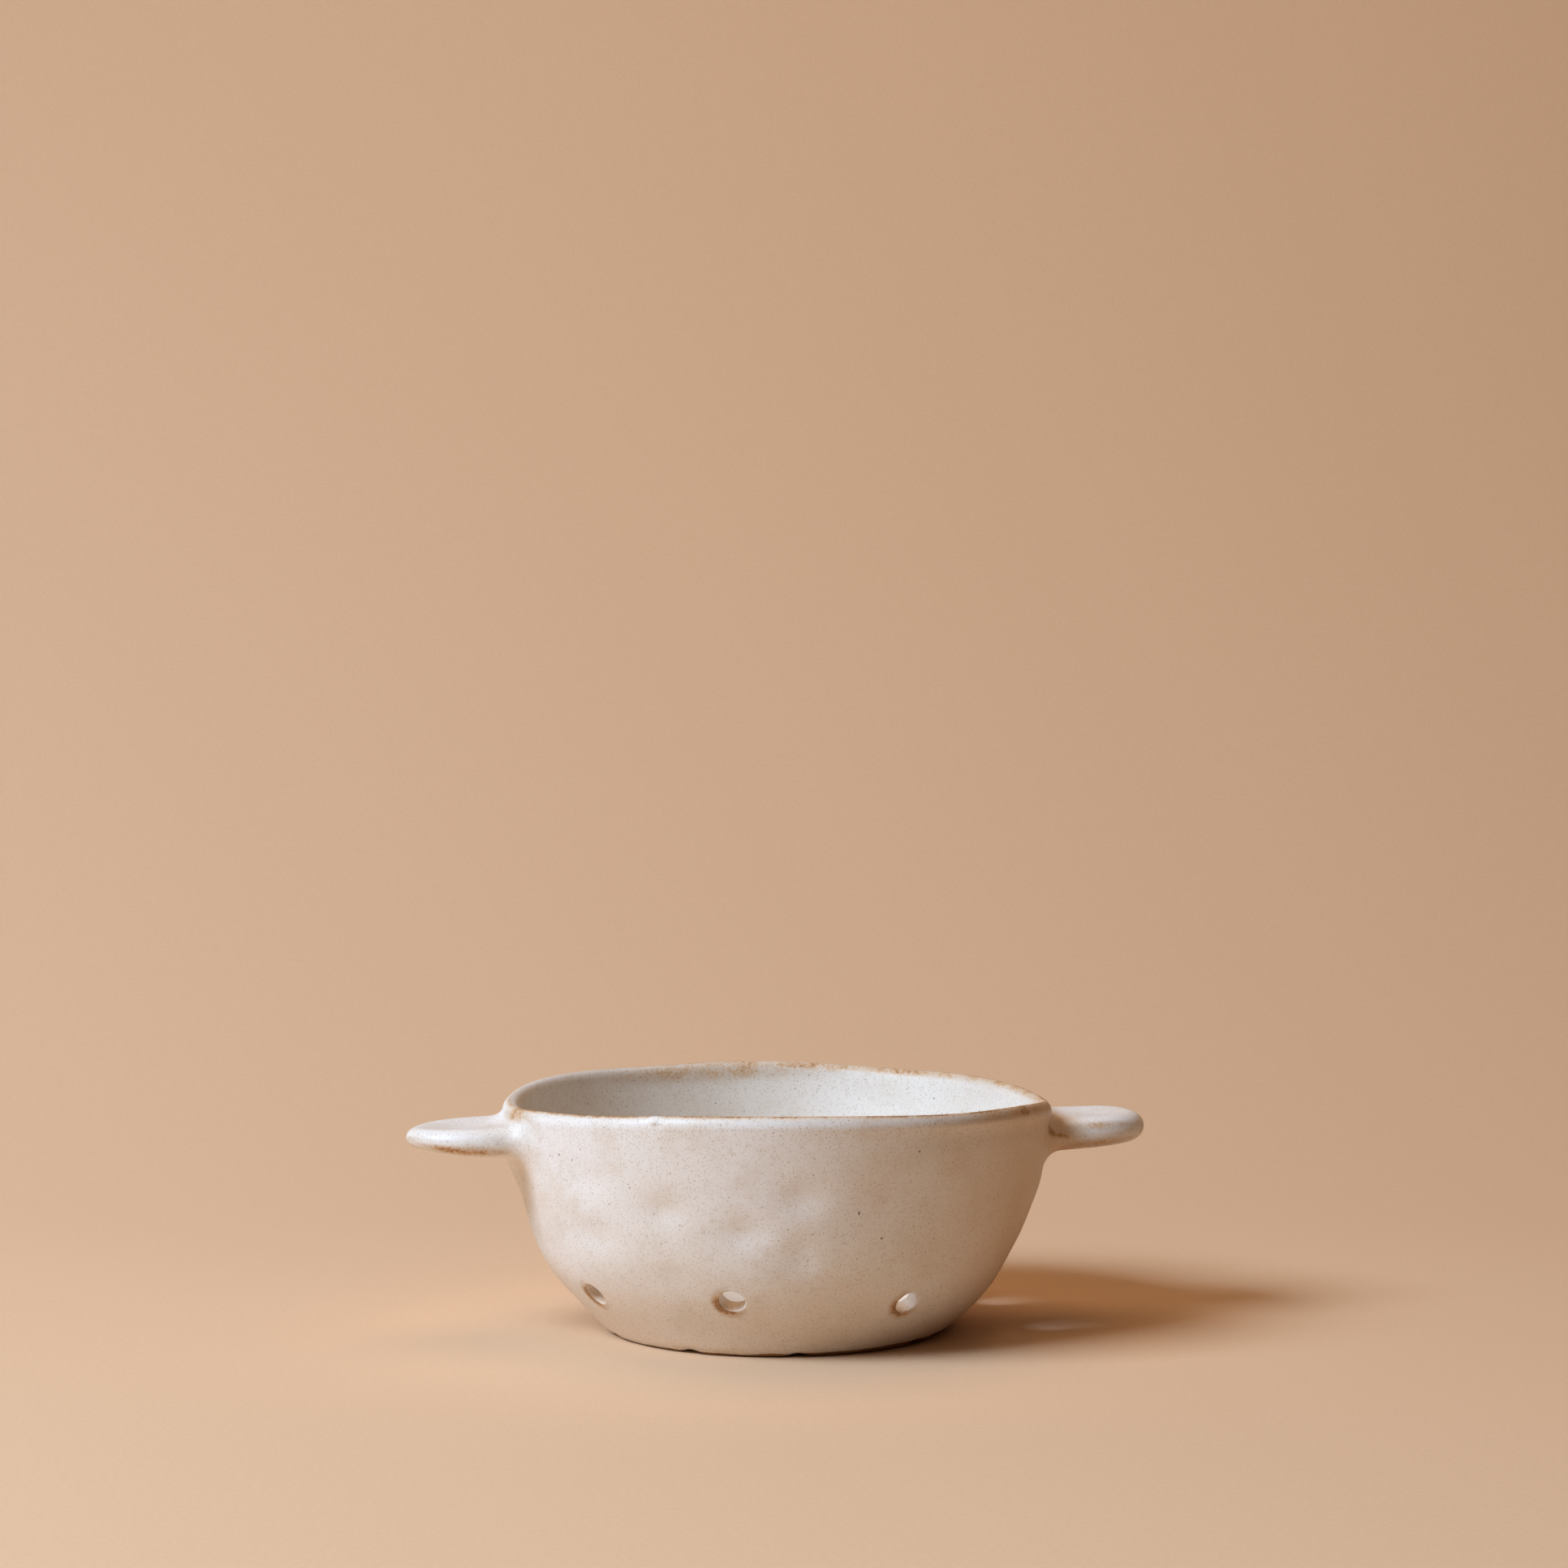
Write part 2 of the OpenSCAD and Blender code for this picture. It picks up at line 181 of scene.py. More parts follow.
def pressed(bearing, z):
    """Depth of all the presses, each a bell round the wall times one up it, and of two slow waves."""
    depth = np.zeros(np.broadcast(bearing, z).shape)
    for at, height, wide, tall, deep in presses:
        depth += deep * bell(np.radians(off(bearing, at)) * PRESS_R, wide) * bell(z - height, tall)
    waves = WAVE_H * np.sin(np.radians(3 * bearing + 2.1 * z))
    waves = waves + RIPPLE_H * np.sin(np.radians(7 * bearing - 5 * z))
    return depth + waves * np.clip(z / STEADY_BELOW, 0, 1)


print("pressed in at the front, half way up:", pressed(np.array([-127, -97]), 40.0).round(2), "mm")

# %% [markdown]
# ## The rim that dips
#
# The lip is lowest where it passes the lugs, because they pull on it while the clay is soft, and it
# rises and falls a little between them. Its height is a saddle, a power of the cosine, with a few
# soft waves on it. The lip's outside has a faint roll with a groove under it, where a finger ran
# round to close the coil, and at one place a drop of glaze stands on its edge.

# %% Height of the crest
DIP = 3.6
# Bearing, rise, half width in degrees
rim_waves = [(-62, -0.9, 20), (-140, -0.4, 18), (60, -0.95, 18), (108, -0.75, 17), (46, -0.4, 10),
             (-12, -0.4, 10), (17, 0.5, 14), (152, 0.45, 17), (-160, 0.25, 10)]


def crest(bearing):
    """Height of the lip: its highest place, less the dip at the lugs, plus the waves."""
    z = HIGHEST - DIP * np.abs(np.cos(np.radians(bearing))) ** 4
    for at, rise, wide in rim_waves:
        z = z + rise * bell(off(bearing, at), wide)
    return z


print("crest at the front, the left lug and the right lug:", crest(np.array([-90, 180, 0])).round(1))

# %% The roll, the groove under it and the drop of glaze
DROP_AT = -127.3


def roll(bearing, z):
    """The lip's roll less the groove under it: two bells of the depth under the crest."""
    down = crest(bearing) - z
    strength = 0.1 + 0.9 * bell(off(bearing, -48), 32)
    return strength * (0.12 * bell(down - 2.3, 1.3) - 0.34 * bell(down - 5.8, 2.0))


def drop(bearing, z):
    """How far the drop stands out: a bell along the lip times one up it, 1.3 mm under the crest."""
    along = np.radians(off(bearing, DROP_AT)) * RIM_R
    return 0.8 * bell(along, 1.0) * bell(z - crest(DROP_AT) + 1.3, 0.8)


print("the groove's greatest depth:", -roll(-48.0, np.linspace(50, 65, 40)).min().round(2), "mm")

# %% The whole skin of the wall as functions of bearing and height
LIP_H, LIP_IN_H, LIP_CREST_IN = 3.4, 2.8, 1.7
ROUND = 0.55
INNER_RIPPLE_H = 0.12
lip_t = np.linspace(0, 1, 101)
lip_rise = cubic(np.zeros(2), ROUND * LIP_H * LIP_WAY, np.array([(ROUND - 1) * LIP_CREST_IN, LIP_H]),
                 np.array([-LIP_CREST_IN, LIP_H]), lip_t)


def place(bearing, radius, z):
    """Points in space from bearings in degrees, radii and heights."""
    turn = np.radians(bearing)
    return np.stack(np.broadcast_arrays(radius * np.cos(turn), radius * np.sin(turn), z), axis=-1)


def outer_r(bearing, z):
    """Radius of the outside: the wall's curve up to the lip, then the lip's round, less the presses."""
    start = crest(bearing) - LIP_H
    plain = np.interp(np.minimum(z, start), outer_face[:, 1], outer_face[:, 0])
    plain = plain + np.interp(z - start, lip_rise[:, 1], lip_rise[:, 0])
    return plain - pressed(bearing, z) + roll(bearing, z) + drop(bearing, z)


def inner_r(bearing, z):
    """Radius of the inside: the inner curve, with the presses showing through at half their depth."""
    ripple = INNER_RIPPLE_H * np.sin(np.radians(5 * bearing + 7 * z)) * np.clip((z - 12) / 10, 0, 1)
    return np.interp(z, inner_face[:, 1], inner_face[:, 0]) - 0.5 * pressed(bearing, z) + ripple


def outside(bearing, z):
    """Points on the outside by bearing and height."""
    return place(bearing, outer_r(bearing, z), z)


def inside(bearing, z):
    """Points on the inside of the wall by bearing and height."""
    return place(bearing, inner_r(bearing, z), z)


print(f"from inside to outside at the front: {outer_r(-90.0, 33.0) - inner_r(-90.0, 33.0):.1f} mm")

# %% [markdown]
# ## Patches that are sewn into one skin
#
# The real bowl is one fired piece, so no seam may show between the slab, the wall and the lip. All
# their patches are sewn first: points that coincide become one, and each gets the mean normal of
# the faces round it. Only then are the faces dealt out to one mesh for each piece of clay. The
# faces where two pieces of clay meet inside the wall are made too, so that every mesh is closed,
# but they have no say in the normals.

# %% A patch of skin
def patch(piece, points, wrap=True, gap=(), hidden=False, flip=False, thin_glaze_and_shade=0.0, inner=0.0, edge=None):
    """A grid of points: rows follow the skin, columns go round, and gap lists windows left open."""
    # thin_glaze_and_shade: how thin the glaze is, with painted shade added on the lip, the lugs and a
    # fold; inner: 1 inside the bowl; edge: normals that row 0 takes over
    rows, columns = points.shape[:2]
    index = np.arange(rows * columns).reshape(rows, columns)
    right = np.roll(index, -1, axis=1)
    quads = np.stack([index[:-1], right[:-1], right[1:], index[1:]], axis=-1)
    keep = np.ones(quads.shape[:2], bool)
    if not wrap:
        keep[:, -1] = False
    for low_row, high_row, low_column, high_column in gap:
        keep[low_row:high_row, low_column:high_column] = False
    quads = quads[keep]
    if flip:
        quads = quads[:, ::-1]
    return {"piece": piece, "points": points.reshape(-1, 3), "quads": quads, "hidden": hidden, "edge": edge,
            "thin_glaze_and_shade": np.broadcast_to(thin_glaze_and_shade, points.shape[:2]).ravel(),
            "inner": np.broadcast_to(inner, points.shape[:2]).ravel()}


def joint(piece, start, end):
    """Hidden faces between two rows, where one piece of clay meets another."""
    return patch(piece, np.stack([start, end]), hidden=True)


# %% Sew patches together
PER_MM = 1e4


def mean_normals(points, faces):
    """Normals: the cross product of each face's diagonals, added up at its corners."""
    normals = np.zeros_like(points)
    a, b, c, d = (points[faces[:, i]] for i in range(4))
    across = np.cross(c - a, d - b)
    for i in range(4):
        np.add.at(normals, faces[:, i], across)
    return normals / np.maximum(np.linalg.norm(normals, axis=1), 1e-12)[:, None]


def sew(patches):
    """Points that agree to a ten thousandth of a millimetre made one, their normals, looks and faces."""
    points = np.concatenate([p["points"] for p in patches])
    grid = np.round(points * PER_MM).astype(np.int64)
    _, first, number = np.unique(grid, axis=0, return_index=True, return_inverse=True)
    numbers = np.split(number.ravel(), np.cumsum([len(p["points"]) for p in patches])[:-1])
    quads = [own[p["quads"]] for own, p in zip(numbers, patches)]
    seen = np.concatenate([own for own, p in zip(quads, patches) if not p["hidden"]])
    normals = mean_normals(points[first], seen)
    looks = {"thin_glaze_and_shade": np.zeros(len(first)), "inner": np.zeros(len(first))}
    faces = {}
    for own, own_quads, p in zip(numbers, quads, patches):
        for look, values in looks.items():
            np.maximum.at(values, own, p[look])
        if p["edge"] is not None:
            normals[own[:len(p["edge"])]] = p["edge"]
        faces.setdefault(p["piece"], []).append(own_quads)
    return points[first], normals, looks, {name: np.concatenate(f) for name, f in faces.items()}


# %% Make a mesh for each piece
def in_scene(name, data):
    """A new object in the scene for a mesh, a lamp or the camera."""
    made = bpy.data.objects.new(name, data)
    scene.collection.objects.link(made)
    return made


def smooth_mesh(name, points, faces):
    """An object with a smooth mesh from points in millimetres."""
    mesh = bpy.data.meshes.new(name)
    mesh.from_pydata((points * MM).tolist(), [], faces)
    mesh.polygons.foreach_set("use_smooth", np.ones(len(mesh.polygons), bool))
    return in_scene(name, mesh)


def whole_faces(quads):
    """Faces as lists: a quad whose end or start has shrunk to a point becomes a triangle."""
    no_end = (quads[:, 2] == quads[:, 3]) | (quads[:, 0] == quads[:, 3])
    no_start = (quads[:, 0] == quads[:, 1]) | (quads[:, 1] == quads[:, 2])
    faces = quads[~(no_end | no_start)].tolist()
    faces += quads[no_end & ~no_start][:, [0, 1, 2]].tolist()
    return faces + quads[no_start & ~no_end][:, [0, 2, 3]].tolist()


def make_pieces(sewn, finishes):
    """A mesh object for each piece, with the shared normals and the glaze's attributes on its points."""
    points, normals, looks, faces = sewn
    for name, quads in faces.items():
        used, local = np.unique(quads, return_inverse=True)
        piece = smooth_mesh(name, points[used], whole_faces(local.reshape(quads.shape)))
        mesh = piece.data
        for look, values in looks.items():
            mesh.attributes.new(look, "FLOAT", "POINT").data.foreach_set("value", values[used])
        mesh.normals_split_custom_set_from_vertices(normals[used].tolist())
        mesh.update()
        mesh.materials.append(finishes[name])
        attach(piece, "root")
        print(name, len(used), "points,", len(mesh.polygons), "faces")


# %% [markdown]
# ## Drain holes
#
# A hole is cut with a tube through leather-hard clay, and glaze then rounds its edges. A Boolean
# would leave knife edges, so the hole is woven into the grid instead: a window of faces is left
# out of both skins, and rings of points lead from the window's edge to a circle round the hole's
# axis, over a rounded edge, along the bore, and back out to the other skin's window. Glaze pulls
# away from a sharp edge, so it is thin round the hole.

# %% The edge of a window, and a circle on a curved skin
HOLE_R, HOLE_ROUND = 3.4, 0.5
NEWTON_STEPS, TINY = 12, 1e-3


def loop(p, q):
    """The edge of a window in a grid: along p, up q, back along p and down q."""
    n, m = len(p) - 1, len(q) - 1
    along = np.concatenate([p[:-1], np.full(m, p[-1]), p[:0:-1], np.full(m, p[0])])
    up = np.concatenate([np.full(n, q[0]), q[:-1], np.full(n, q[-1]), q[:0:-1]])
    return along, up


def on_circle(skin, p, q, axis, radius, turn):
    """Where a skin lies at a radius from a drill's axis, for each turn: Newton's method on p and q."""
    centre, across, up = axis
    p, q = np.full(turn.shape, float(p)), np.full(turn.shape, float(q))
    goal = radius * np.stack([np.cos(turn), np.sin(turn)], axis=-1)

    def miss(p, q):
        away = skin(p, q) - centre
        return np.stack([away @ across, away @ up], axis=-1) - goal

    for _ in range(NEWTON_STEPS):
        here = miss(p, q)
        slope = np.stack([miss(p + TINY, q) - here, miss(p, q + TINY) - here], axis=-1) / TINY
        move = np.linalg.solve(slope, here[..., None])[..., 0]
        p, q = p - move[:, 0], q - move[:, 1]
    return p, q


# %% Rings from a window in one skin to a window in the other
THIN_ROUND, THIN_WIDE, THIN_IN_BORE, THIN_IN_FLOOR = 1.6, 1.5, 0.25, 0.3


def half_hole(skin, window, axis, out):
    """Rows from a window's edge to the start of the bore, and the turn of each column."""
    edge_p, edge_q = loop(*window)
    square = loop(np.linspace(-1, 1, len(window[0])), np.linspace(-1, 1, len(window[1])))
    turn = np.arctan2(square[1], square[0])
    middle = window[0].mean(), window[1].mean()
    rim_p, rim_q = on_circle(skin, *middle, axis, HOLE_R + HOLE_ROUND, turn)
    corner = skin(*on_circle(skin, *middle, axis, HOLE_R, turn))
    mix = steps(6) ** 0.8
    flat = skin(edge_p + (rim_p - edge_p) * mix, edge_q + (rim_q - edge_q) * mix)
    bend = rounded(flat[-1], corner, corner - HOLE_ROUND * out, steps(5)[1:])
    return np.concatenate([flat, bend]), turn


def bored(piece, skins, windows, centre, out, across, thin_from=None):
    """One hole's patch: out points out of the first skin, and glaze is thinnest at the turn thin_from."""
    axis = centre, across, np.cross(out, across)
    first, turn = half_hole(skins[0], windows[0], axis, out)
    last, _ = half_hole(skins[1], windows[1], axis, -out)
    middle = first[-1] + (last[-1] - first[-1]) * np.array([0.35, 0.65])[:, None, None]
    rows = np.concatenate([first, middle, last[::-1]])
    radius = np.hypot((rows - centre) @ axis[1], (rows - centre) @ axis[2])
    thin_glaze_and_shade = THIN_ROUND * bell(np.maximum(radius - HOLE_R - 0.3, 0), THIN_WIDE)
    thin_glaze_and_shade[len(first) - 2:] *= THIN_IN_BORE
    thin_glaze_and_shade *= THIN_IN_FLOOR if thin_from is None else np.clip(0.35 + 0.65 * np.cos(turn - thin_from), 0, 1)
    inner = np.arange(len(rows)) > len(first)
    return patch(piece, rows, thin_glaze_and_shade=thin_glaze_and_shade, inner=inner[:, None].astype(float))


# %% [markdown]
# ## The slab, the wall and the lip
#
# Columns stand half a degree apart all the way round, and rows follow the clay from under the foot,
# up the outside, over the lip and down to the middle of the floor. The path never turns back on
# itself, so all the faces point out of the clay.

# %% Bearings and heights of the grid
FIRST_BEARING = -30
bearings = np.arange(FIRST_BEARING, FIRST_BEARING + 360, 0.5)
along_curve = np.linspace(0, 1, len(curve))
base_at, coil_at = np.interp([WALL_BASE, COIL_BASE], curve[:, 1], along_curve)
outer_rows = np.interp(np.linspace(base_at, coil_at, 50), along_curve, curve[:, 1])
FINE_BELOW = 16
inner_rows = np.concatenate([np.linspace(WALL_BASE, FINE_BELOW, 7)[:-1],
                             np.linspace(FINE_BELOW, COIL_BASE, 40)])
body = []
print(len(bearings), "columns,", len(outer_rows), "rows outside and", len(inner_rows), "inside")

# %% Drain holes in the wall
WALL_HOLES, HOLE_Z, STAGGER, SLOPE = 8, 15.3, 1.0, np.radians(28)
HALF_WINDOW, WINDOW_DOWN, WINDOW_UP, WINDOW_DOWN_IN = 5.6, 4.1, 4.6, 4.9
IN_RISE = np.tan(SLOPE) * 5.5
THIN_FROM = np.radians(215)
wall_gaps, inside_gaps = [], []


def nearest(values, low, high):
    """First and last index of the grid lines that enclose low to high."""
    return max(np.searchsorted(values, low) - 1, 0), np.searchsorted(values, high)


def wall_hole(k):
    """Bearing and height of a hole: evenly spaced but for a hand's slip, and low and high in turn."""
    bearing = (k + 0.5) * 360 / WALL_HOLES - 1.3 * np.cos(np.radians(135 * k))
    return (bearing - FIRST_BEARING) % 360 + FIRST_BEARING, HOLE_Z + STAGGER * (1 if k % 2 else -1)


for bearing, height in map(wall_hole, range(WALL_HOLES)):
    out = place(bearing, np.cos(SLOPE), -np.sin(SLOPE))
    left, right = nearest(bearings, bearing - HALF_WINDOW, bearing + HALF_WINDOW)
    low, high = nearest(outer_rows, height - WINDOW_DOWN, height + WINDOW_UP)
    low_in = nearest(inner_rows, height + IN_RISE - WINDOW_DOWN_IN, height)[0]
    high_in = low_in + high - low
    wall_gaps.append((low, high, left, right))
    inside_gaps.append((len(inner_rows) - 1 - high_in, len(inner_rows) - 1 - low_in, left, right))
    columns = bearings[left:right + 1]
    windows = (columns, outer_rows[low:high + 1]), (columns, inner_rows[low_in:high_in + 1])
    body.append(bored("wall", (outside, inside), windows, outside(bearing, height), out,
                      place(bearing + 90, 1, 0), THIN_FROM))
    print(f"hole at {bearing:.1f} degrees")

# %% Skins of the wall, outside and inside
wall_out = outside(bearings, outer_rows[:, None])
wall_in = inside(bearings, inner_rows[::-1, None])
body += [patch("wall", wall_out, gap=wall_gaps), patch("wall", wall_in, gap=inside_gaps, inner=1.0),
         joint("wall", wall_out[-1], wall_in[0]), joint("wall", wall_in[-1], wall_out[0])]
print("wall:", len(wall_gaps), "windows in each skin")

# %% Skin of the lip: straight part, round over the crest, straight part inside
start_z, end_z = crest(bearings) - LIP_H, crest(bearings) - LIP_IN_H
straight_z = COIL_BASE + (start_z - COIL_BASE) * steps(4)[:-1]
round_z = start_z + np.interp(steps(17), lip_t, lip_rise[:, 1])
lip_out = outside(bearings, np.concatenate([straight_z, round_z]))
top, end = lip_out[-1], inside(bearings, end_z)
inward = ROUND * np.linalg.norm(top[:, :2] - end[:, :2], axis=1)[:, None] * place(bearings, 1.0, 0.0)
lip_in = cubic(top, top - inward, end + ROUND * LIP_IN_H * place(bearings, *LIP_WAY), end, steps(9)[1:])
down_z = end_z + (COIL_BASE - end_z) * steps(5)[1:]
lip = np.concatenate([lip_out, lip_in, inside(bearings, down_z)])
print("lip section:", len(lip), "rows")

# %% Where the glaze is thin on the lip, and painted shade on its round
# Strength, bearing, half width in degrees, millimetres past the crest and half width there
worn = [(0.9, 15, 40, 1.0, 1.3), (1.0, 64, 45, 1.6, 1.7), (0.85, 97, 24, 3.8, 2.7)]
# By the lugs it is thin from some millimetres outside the crest to just past it, and fades downwards
worn_by_lugs = [(0.9, -172, 8, 3.0, 2.5), (1.0, -38, 22, 2.0, 1.8)]
along_lip = np.cumsum(np.linalg.norm(np.diff(lip, axis=0, prepend=lip[:1]), axis=2), axis=0)
crest_row = len(lip_out) - 1
past_crest = along_lip - along_lip[crest_row]
lip_spots = [strength * bell(off(bearings, at), wide) * bell(past_crest - past, tall)
             for strength, at, wide, past, tall in worn]
near_lugs = np.maximum.reduce([
    strength * bell(off(bearings, at), wide) * bell(np.minimum(past_crest + before, 0), fade)
    for strength, at, wide, before, fade in worn_by_lugs]) * (past_crest < 1.2)
front_right, back_left = bell(off(bearings, -48), 42), bell(off(bearings, 150), 28)
# Across the lip's round the glaze is a little thinner, and the same wash is painted shade that dims the
# round's bright top
round_lip_thinning_and_shade = (0.34 + 0.2 * front_right - 0.12 * back_left) * bell(past_crest, 2.4)
crest_line = (1.2 + 0.3 * front_right - 1.05 * back_left) * bell(past_crest + 0.25, 0.8)
lip_thin_and_shade = np.maximum.reduce([round_lip_thinning_and_shade, crest_line, near_lugs, *lip_spots])
lip_thin_and_shade = lip_thin_and_shade * (1 - bell(off(bearings, DROP_AT), 1.8))
body += [patch("lip", lip, thin_glaze_and_shade=lip_thin_and_shade, inner=np.clip(past_crest / 3.5, 0, 1)),
         joint("lip", lip[-1], lip[0])]
print(f"glaze is thin on {(lip_thin_and_shade > 0.5).mean():.0%} of the lip's points")

# %% [markdown]
# ## The floor and the foot
#
# The slab's edge turns up into the wall, and its drain holes stand upright, so their windows lie in
# a grid of radius and bearing. The foot ring is left without glaze, because a glazed foot would
# stick to the kiln shelf. Nine shallow notches under it let the water out.

# %% The slab's two faces as functions of radius and bearing
UPRIGHT = np.array([0.0, 0.0, 1.0])
FOOT_IN = FOOT_R - 7


def floor_top(radius, bearing):
    """The floor inside: flat but for a slow swell of the slab."""
    swell = 0.22 * np.sin(np.radians(2 * bearing + 30)) * np.sin(radius / 9) ** 2 - 0.12 * np.cos(radius / 7)
    return place(bearing, radius, FLOOR_TOP + swell * np.clip((FLAT_R - radius) / 8, 0, 1))


def floor_under(radius, bearing):
    """The slab's flat underside."""
    return place(bearing, radius, FOOT_H)


flat_rows = np.linspace(HOLE_R + HOLE_ROUND, FLAT_R, 38)
under_rows = np.concatenate([flat_rows[flat_rows < FOOT_IN], [FOOT_IN]])
print("slab:", len(flat_rows), "rows inside,", len(under_rows), "under it")

# %% Drain holes in the floor
FLOOR_HOLES, RING_R = 6, 23.0
FLOOR_WINDOW, FLOOR_WINDOW_TURN = 5.4, 13.5
floor_gaps = []
low, high = nearest(flat_rows, RING_R - FLOOR_WINDOW, RING_R + FLOOR_WINDOW)
for bearing in np.arange(FLOOR_HOLES) * 360 / FLOOR_HOLES:
    left, right = nearest(bearings, bearing - FLOOR_WINDOW_TURN, bearing + FLOOR_WINDOW_TURN)
    floor_gaps.append((low, high, left, right))
    window = flat_rows[low:high + 1], bearings[left:right + 1]
    body.append(bored("floor", (floor_top, floor_under), (window, window),
                      place(bearing, RING_R, FLOOR_TOP), UPRIGHT, place(bearing, 1, 0)))
print(FLOOR_HOLES, "holes round the one in the middle")

# %% The slab inside: turned up at its edge, and flat
turn_up = rounded(sweep_end, sweep_corner, sweep_top,
                  np.linspace(np.interp(WALL_BASE, sweep[:, 1], sweep_share), 0, 18))
turned_up = place(bearings, turn_up[:, :1], turn_up[:, 1:])
turned_up[0] = wall_in[-1]
turned_up[-1] = floor_top(FLAT_R, bearings)
floor_in = floor_top(flat_rows[::-1, None], bearings)
last_flat = len(flat_rows) - 1
turned_gaps = [(last_flat - high, last_flat - low, left, right) for low, high, left, right in floor_gaps]
by_drain = 0.5 * bell(flat_rows[::-1, None] - HOLE_R - 0.3, 1.5)
body += [patch("floor", turned_up, inner=1.0),
         patch("floor", floor_in, gap=turned_gaps, thin_glaze_and_shade=by_drain, inner=1.0)]
print(f"the slab turns up by {turn_up[0, 1] - FLOOR_TOP:.1f} mm")

# %% The middle drain, the underside and the slab's outer edge
under = floor_under(under_rows[:, None], bearings)
slab_out = outside(bearings, np.linspace(FOOT_H, WALL_BASE, 9)[:, None])
hub_corner = place(bearings, HOLE_R, floor_in[-1, :, 2])
hub_bend = rounded(floor_in[-1], hub_corner, hub_corner - HOLE_ROUND * UPRIGHT, steps(5)[1:])
low_corner = place(bearings, HOLE_R, FOOT_H)
low_bend = rounded(under[0], low_corner, low_corner + HOLE_ROUND * UPRIGHT, steps(5)[1:])[::-1]
body += [
    patch("floor", np.concatenate([floor_in[-1:], hub_bend, low_bend, under[:1]])),
    patch("floor", under, gap=floor_gaps), patch("floor", slab_out),
    joint("floor", slab_out[-1], turned_up[0]), joint("floor", under[-1], slab_out[0])]
print("middle drain:", len(hub_bend) + len(low_bend) + 2, "rows")

# %% Edges of the foot ring, lifted at its drain notches
NOTCHES, NOTCH_HALF, NOTCH_H, NOTCH_TURN = 9, 4.0, 0.9, 29
FOOT_ROUND, FOOT_WORN = 0.8, 0.35
# One notch in front was cut a little off its place
strayed = bearings + 5 * bell(off(bearings, -94), 14)
along = np.radians(off(strayed * NOTCHES, NOTCH_TURN * NOTCHES)) / NOTCHES * FOOT_R
lifted = NOTCH_H * np.clip(1 - (along / NOTCH_HALF) ** 2, 0, 1) ** 1.5
wobble = 0.18 * np.sin(np.radians(5 * bearings + 20)) + 0.1 * np.sin(np.radians(13 * bearings))
inner_edge = place(bearings, FOOT_IN, lifted)
outer_edge = place(bearings, FOOT_R - FOOT_WORN + wobble - pressed(bearings, 0.0), lifted)
glaze_edge = outside(bearings, 1.55 + 0.35 * lifted + wobble)
print(f"{NOTCHES} notches, and glaze from {glaze_edge[:, 2].min():.1f} mm up")


# %% Skin of the foot ring
def rows(start, end, n):
    """Rows of points at n even steps from start to end."""
    return start + (end - start) * steps(n)[..., None]


slab_in = place(bearings, FOOT_IN, FOOT_H)
up_in = inner_edge + FOOT_ROUND * UPRIGHT
in_flat = inner_edge + place(bearings, FOOT_ROUND, 0)
out_flat = outer_edge - place(bearings, FOOT_ROUND, 0)
out_up = outer_edge + (glaze_edge - outer_edge) * 0.55
glazed_z = glaze_edge[:, 2] + (FOOT_H - glaze_edge[:, 2]) * steps(4)[1:]
foot = np.concatenate([
    rows(slab_in, up_in, 4)[:-1], rounded(up_in, inner_edge, in_flat, steps(4)),
    rows(in_flat, out_flat, 5)[1:-1], rounded(out_flat, outer_edge, out_up, steps(5)),
    rows(out_up, glaze_edge, 3)[1:], outside(bearings, glazed_z)])
body += [patch("foot", foot), joint("foot", foot[-1], foot[0])]
print("foot:", len(foot), "rows")

# %% [markdown]
# ## The lugs
#
# Each lug is a flat tongue of clay, cut round at its end, with a thumb's dish in its top and an
# edge that fingers rounded. Its skin is a function of the distance out and the turn round its
# section: the half width falls off as a round end, and the thickness swells from the edge inwards.
# A thin coil pressed round its root flows into the wall, so a curve is drawn from the wall,
# towards the line where lug and wall would meet, and out on to the lug's skin.

# %% Sizes of the two lugs
# side: which way along X; reach, width: size from above; end, power: length and squareness of the
# round end; dish: depth of the thumb's press; root and tip: height and thickness there; the
# fillets: how far the root flows out on the lug and on the wall; thin_glaze_and_shade: strength,
# turn and half width in degrees, share of the way out and half width there of places where the
# glaze is thin; crease_shade: strength, turn and share of the way up the root of a dark line of
# painted shade in the fold
lugs = {
    "left": SimpleNamespace(
        side=-1, reach=101.3, width=34.6, end=24.0, power=2.1, dish=1.6,
        root_z=53.6, tip_z=54.1, root_t=8.6, tip_t=5.8, under_fillet=(5.0, 9.0), top_fillet=(4.5, 2.6),
        thin_glaze_and_shade=[(1.25, 197, 10, 0.53, 0.36), (0.4, 180, 40, 0.98, 0.12), (0.24, 90, 55, 0.5, 0.7)],
        crease_shade=(0.0, 0, 0)),
    "right": SimpleNamespace(
        side=1, reach=102.6, width=34.6, end=21.5, power=2.35, dish=1.1,
        root_z=51.95, tip_z=53.25, root_t=8.8, tip_t=7.8, under_fillet=(5.0, 6.0), top_fillet=(4.5, 3.6),
        thin_glaze_and_shade=[(0.75, 165, 8, 0.4, 0.35), (0.85, 200, 9, 0.42, 0.35), (0.4, 190, 30, 0.97, 0.12)],
        crease_shade=(2.0, 176, 0.55))}
turn_degrees = np.arange(0, 360, 3.0)
turns = np.radians(turn_degrees)
print("lugs:", ", ".join(lugs))

# %% The skin of a lug, and the wall beside it, in a frame where the lug points along +X
EDGE_R = 4.3
DISH_X, DISH_LONG, DISH_WIDE = 87, 15, 13


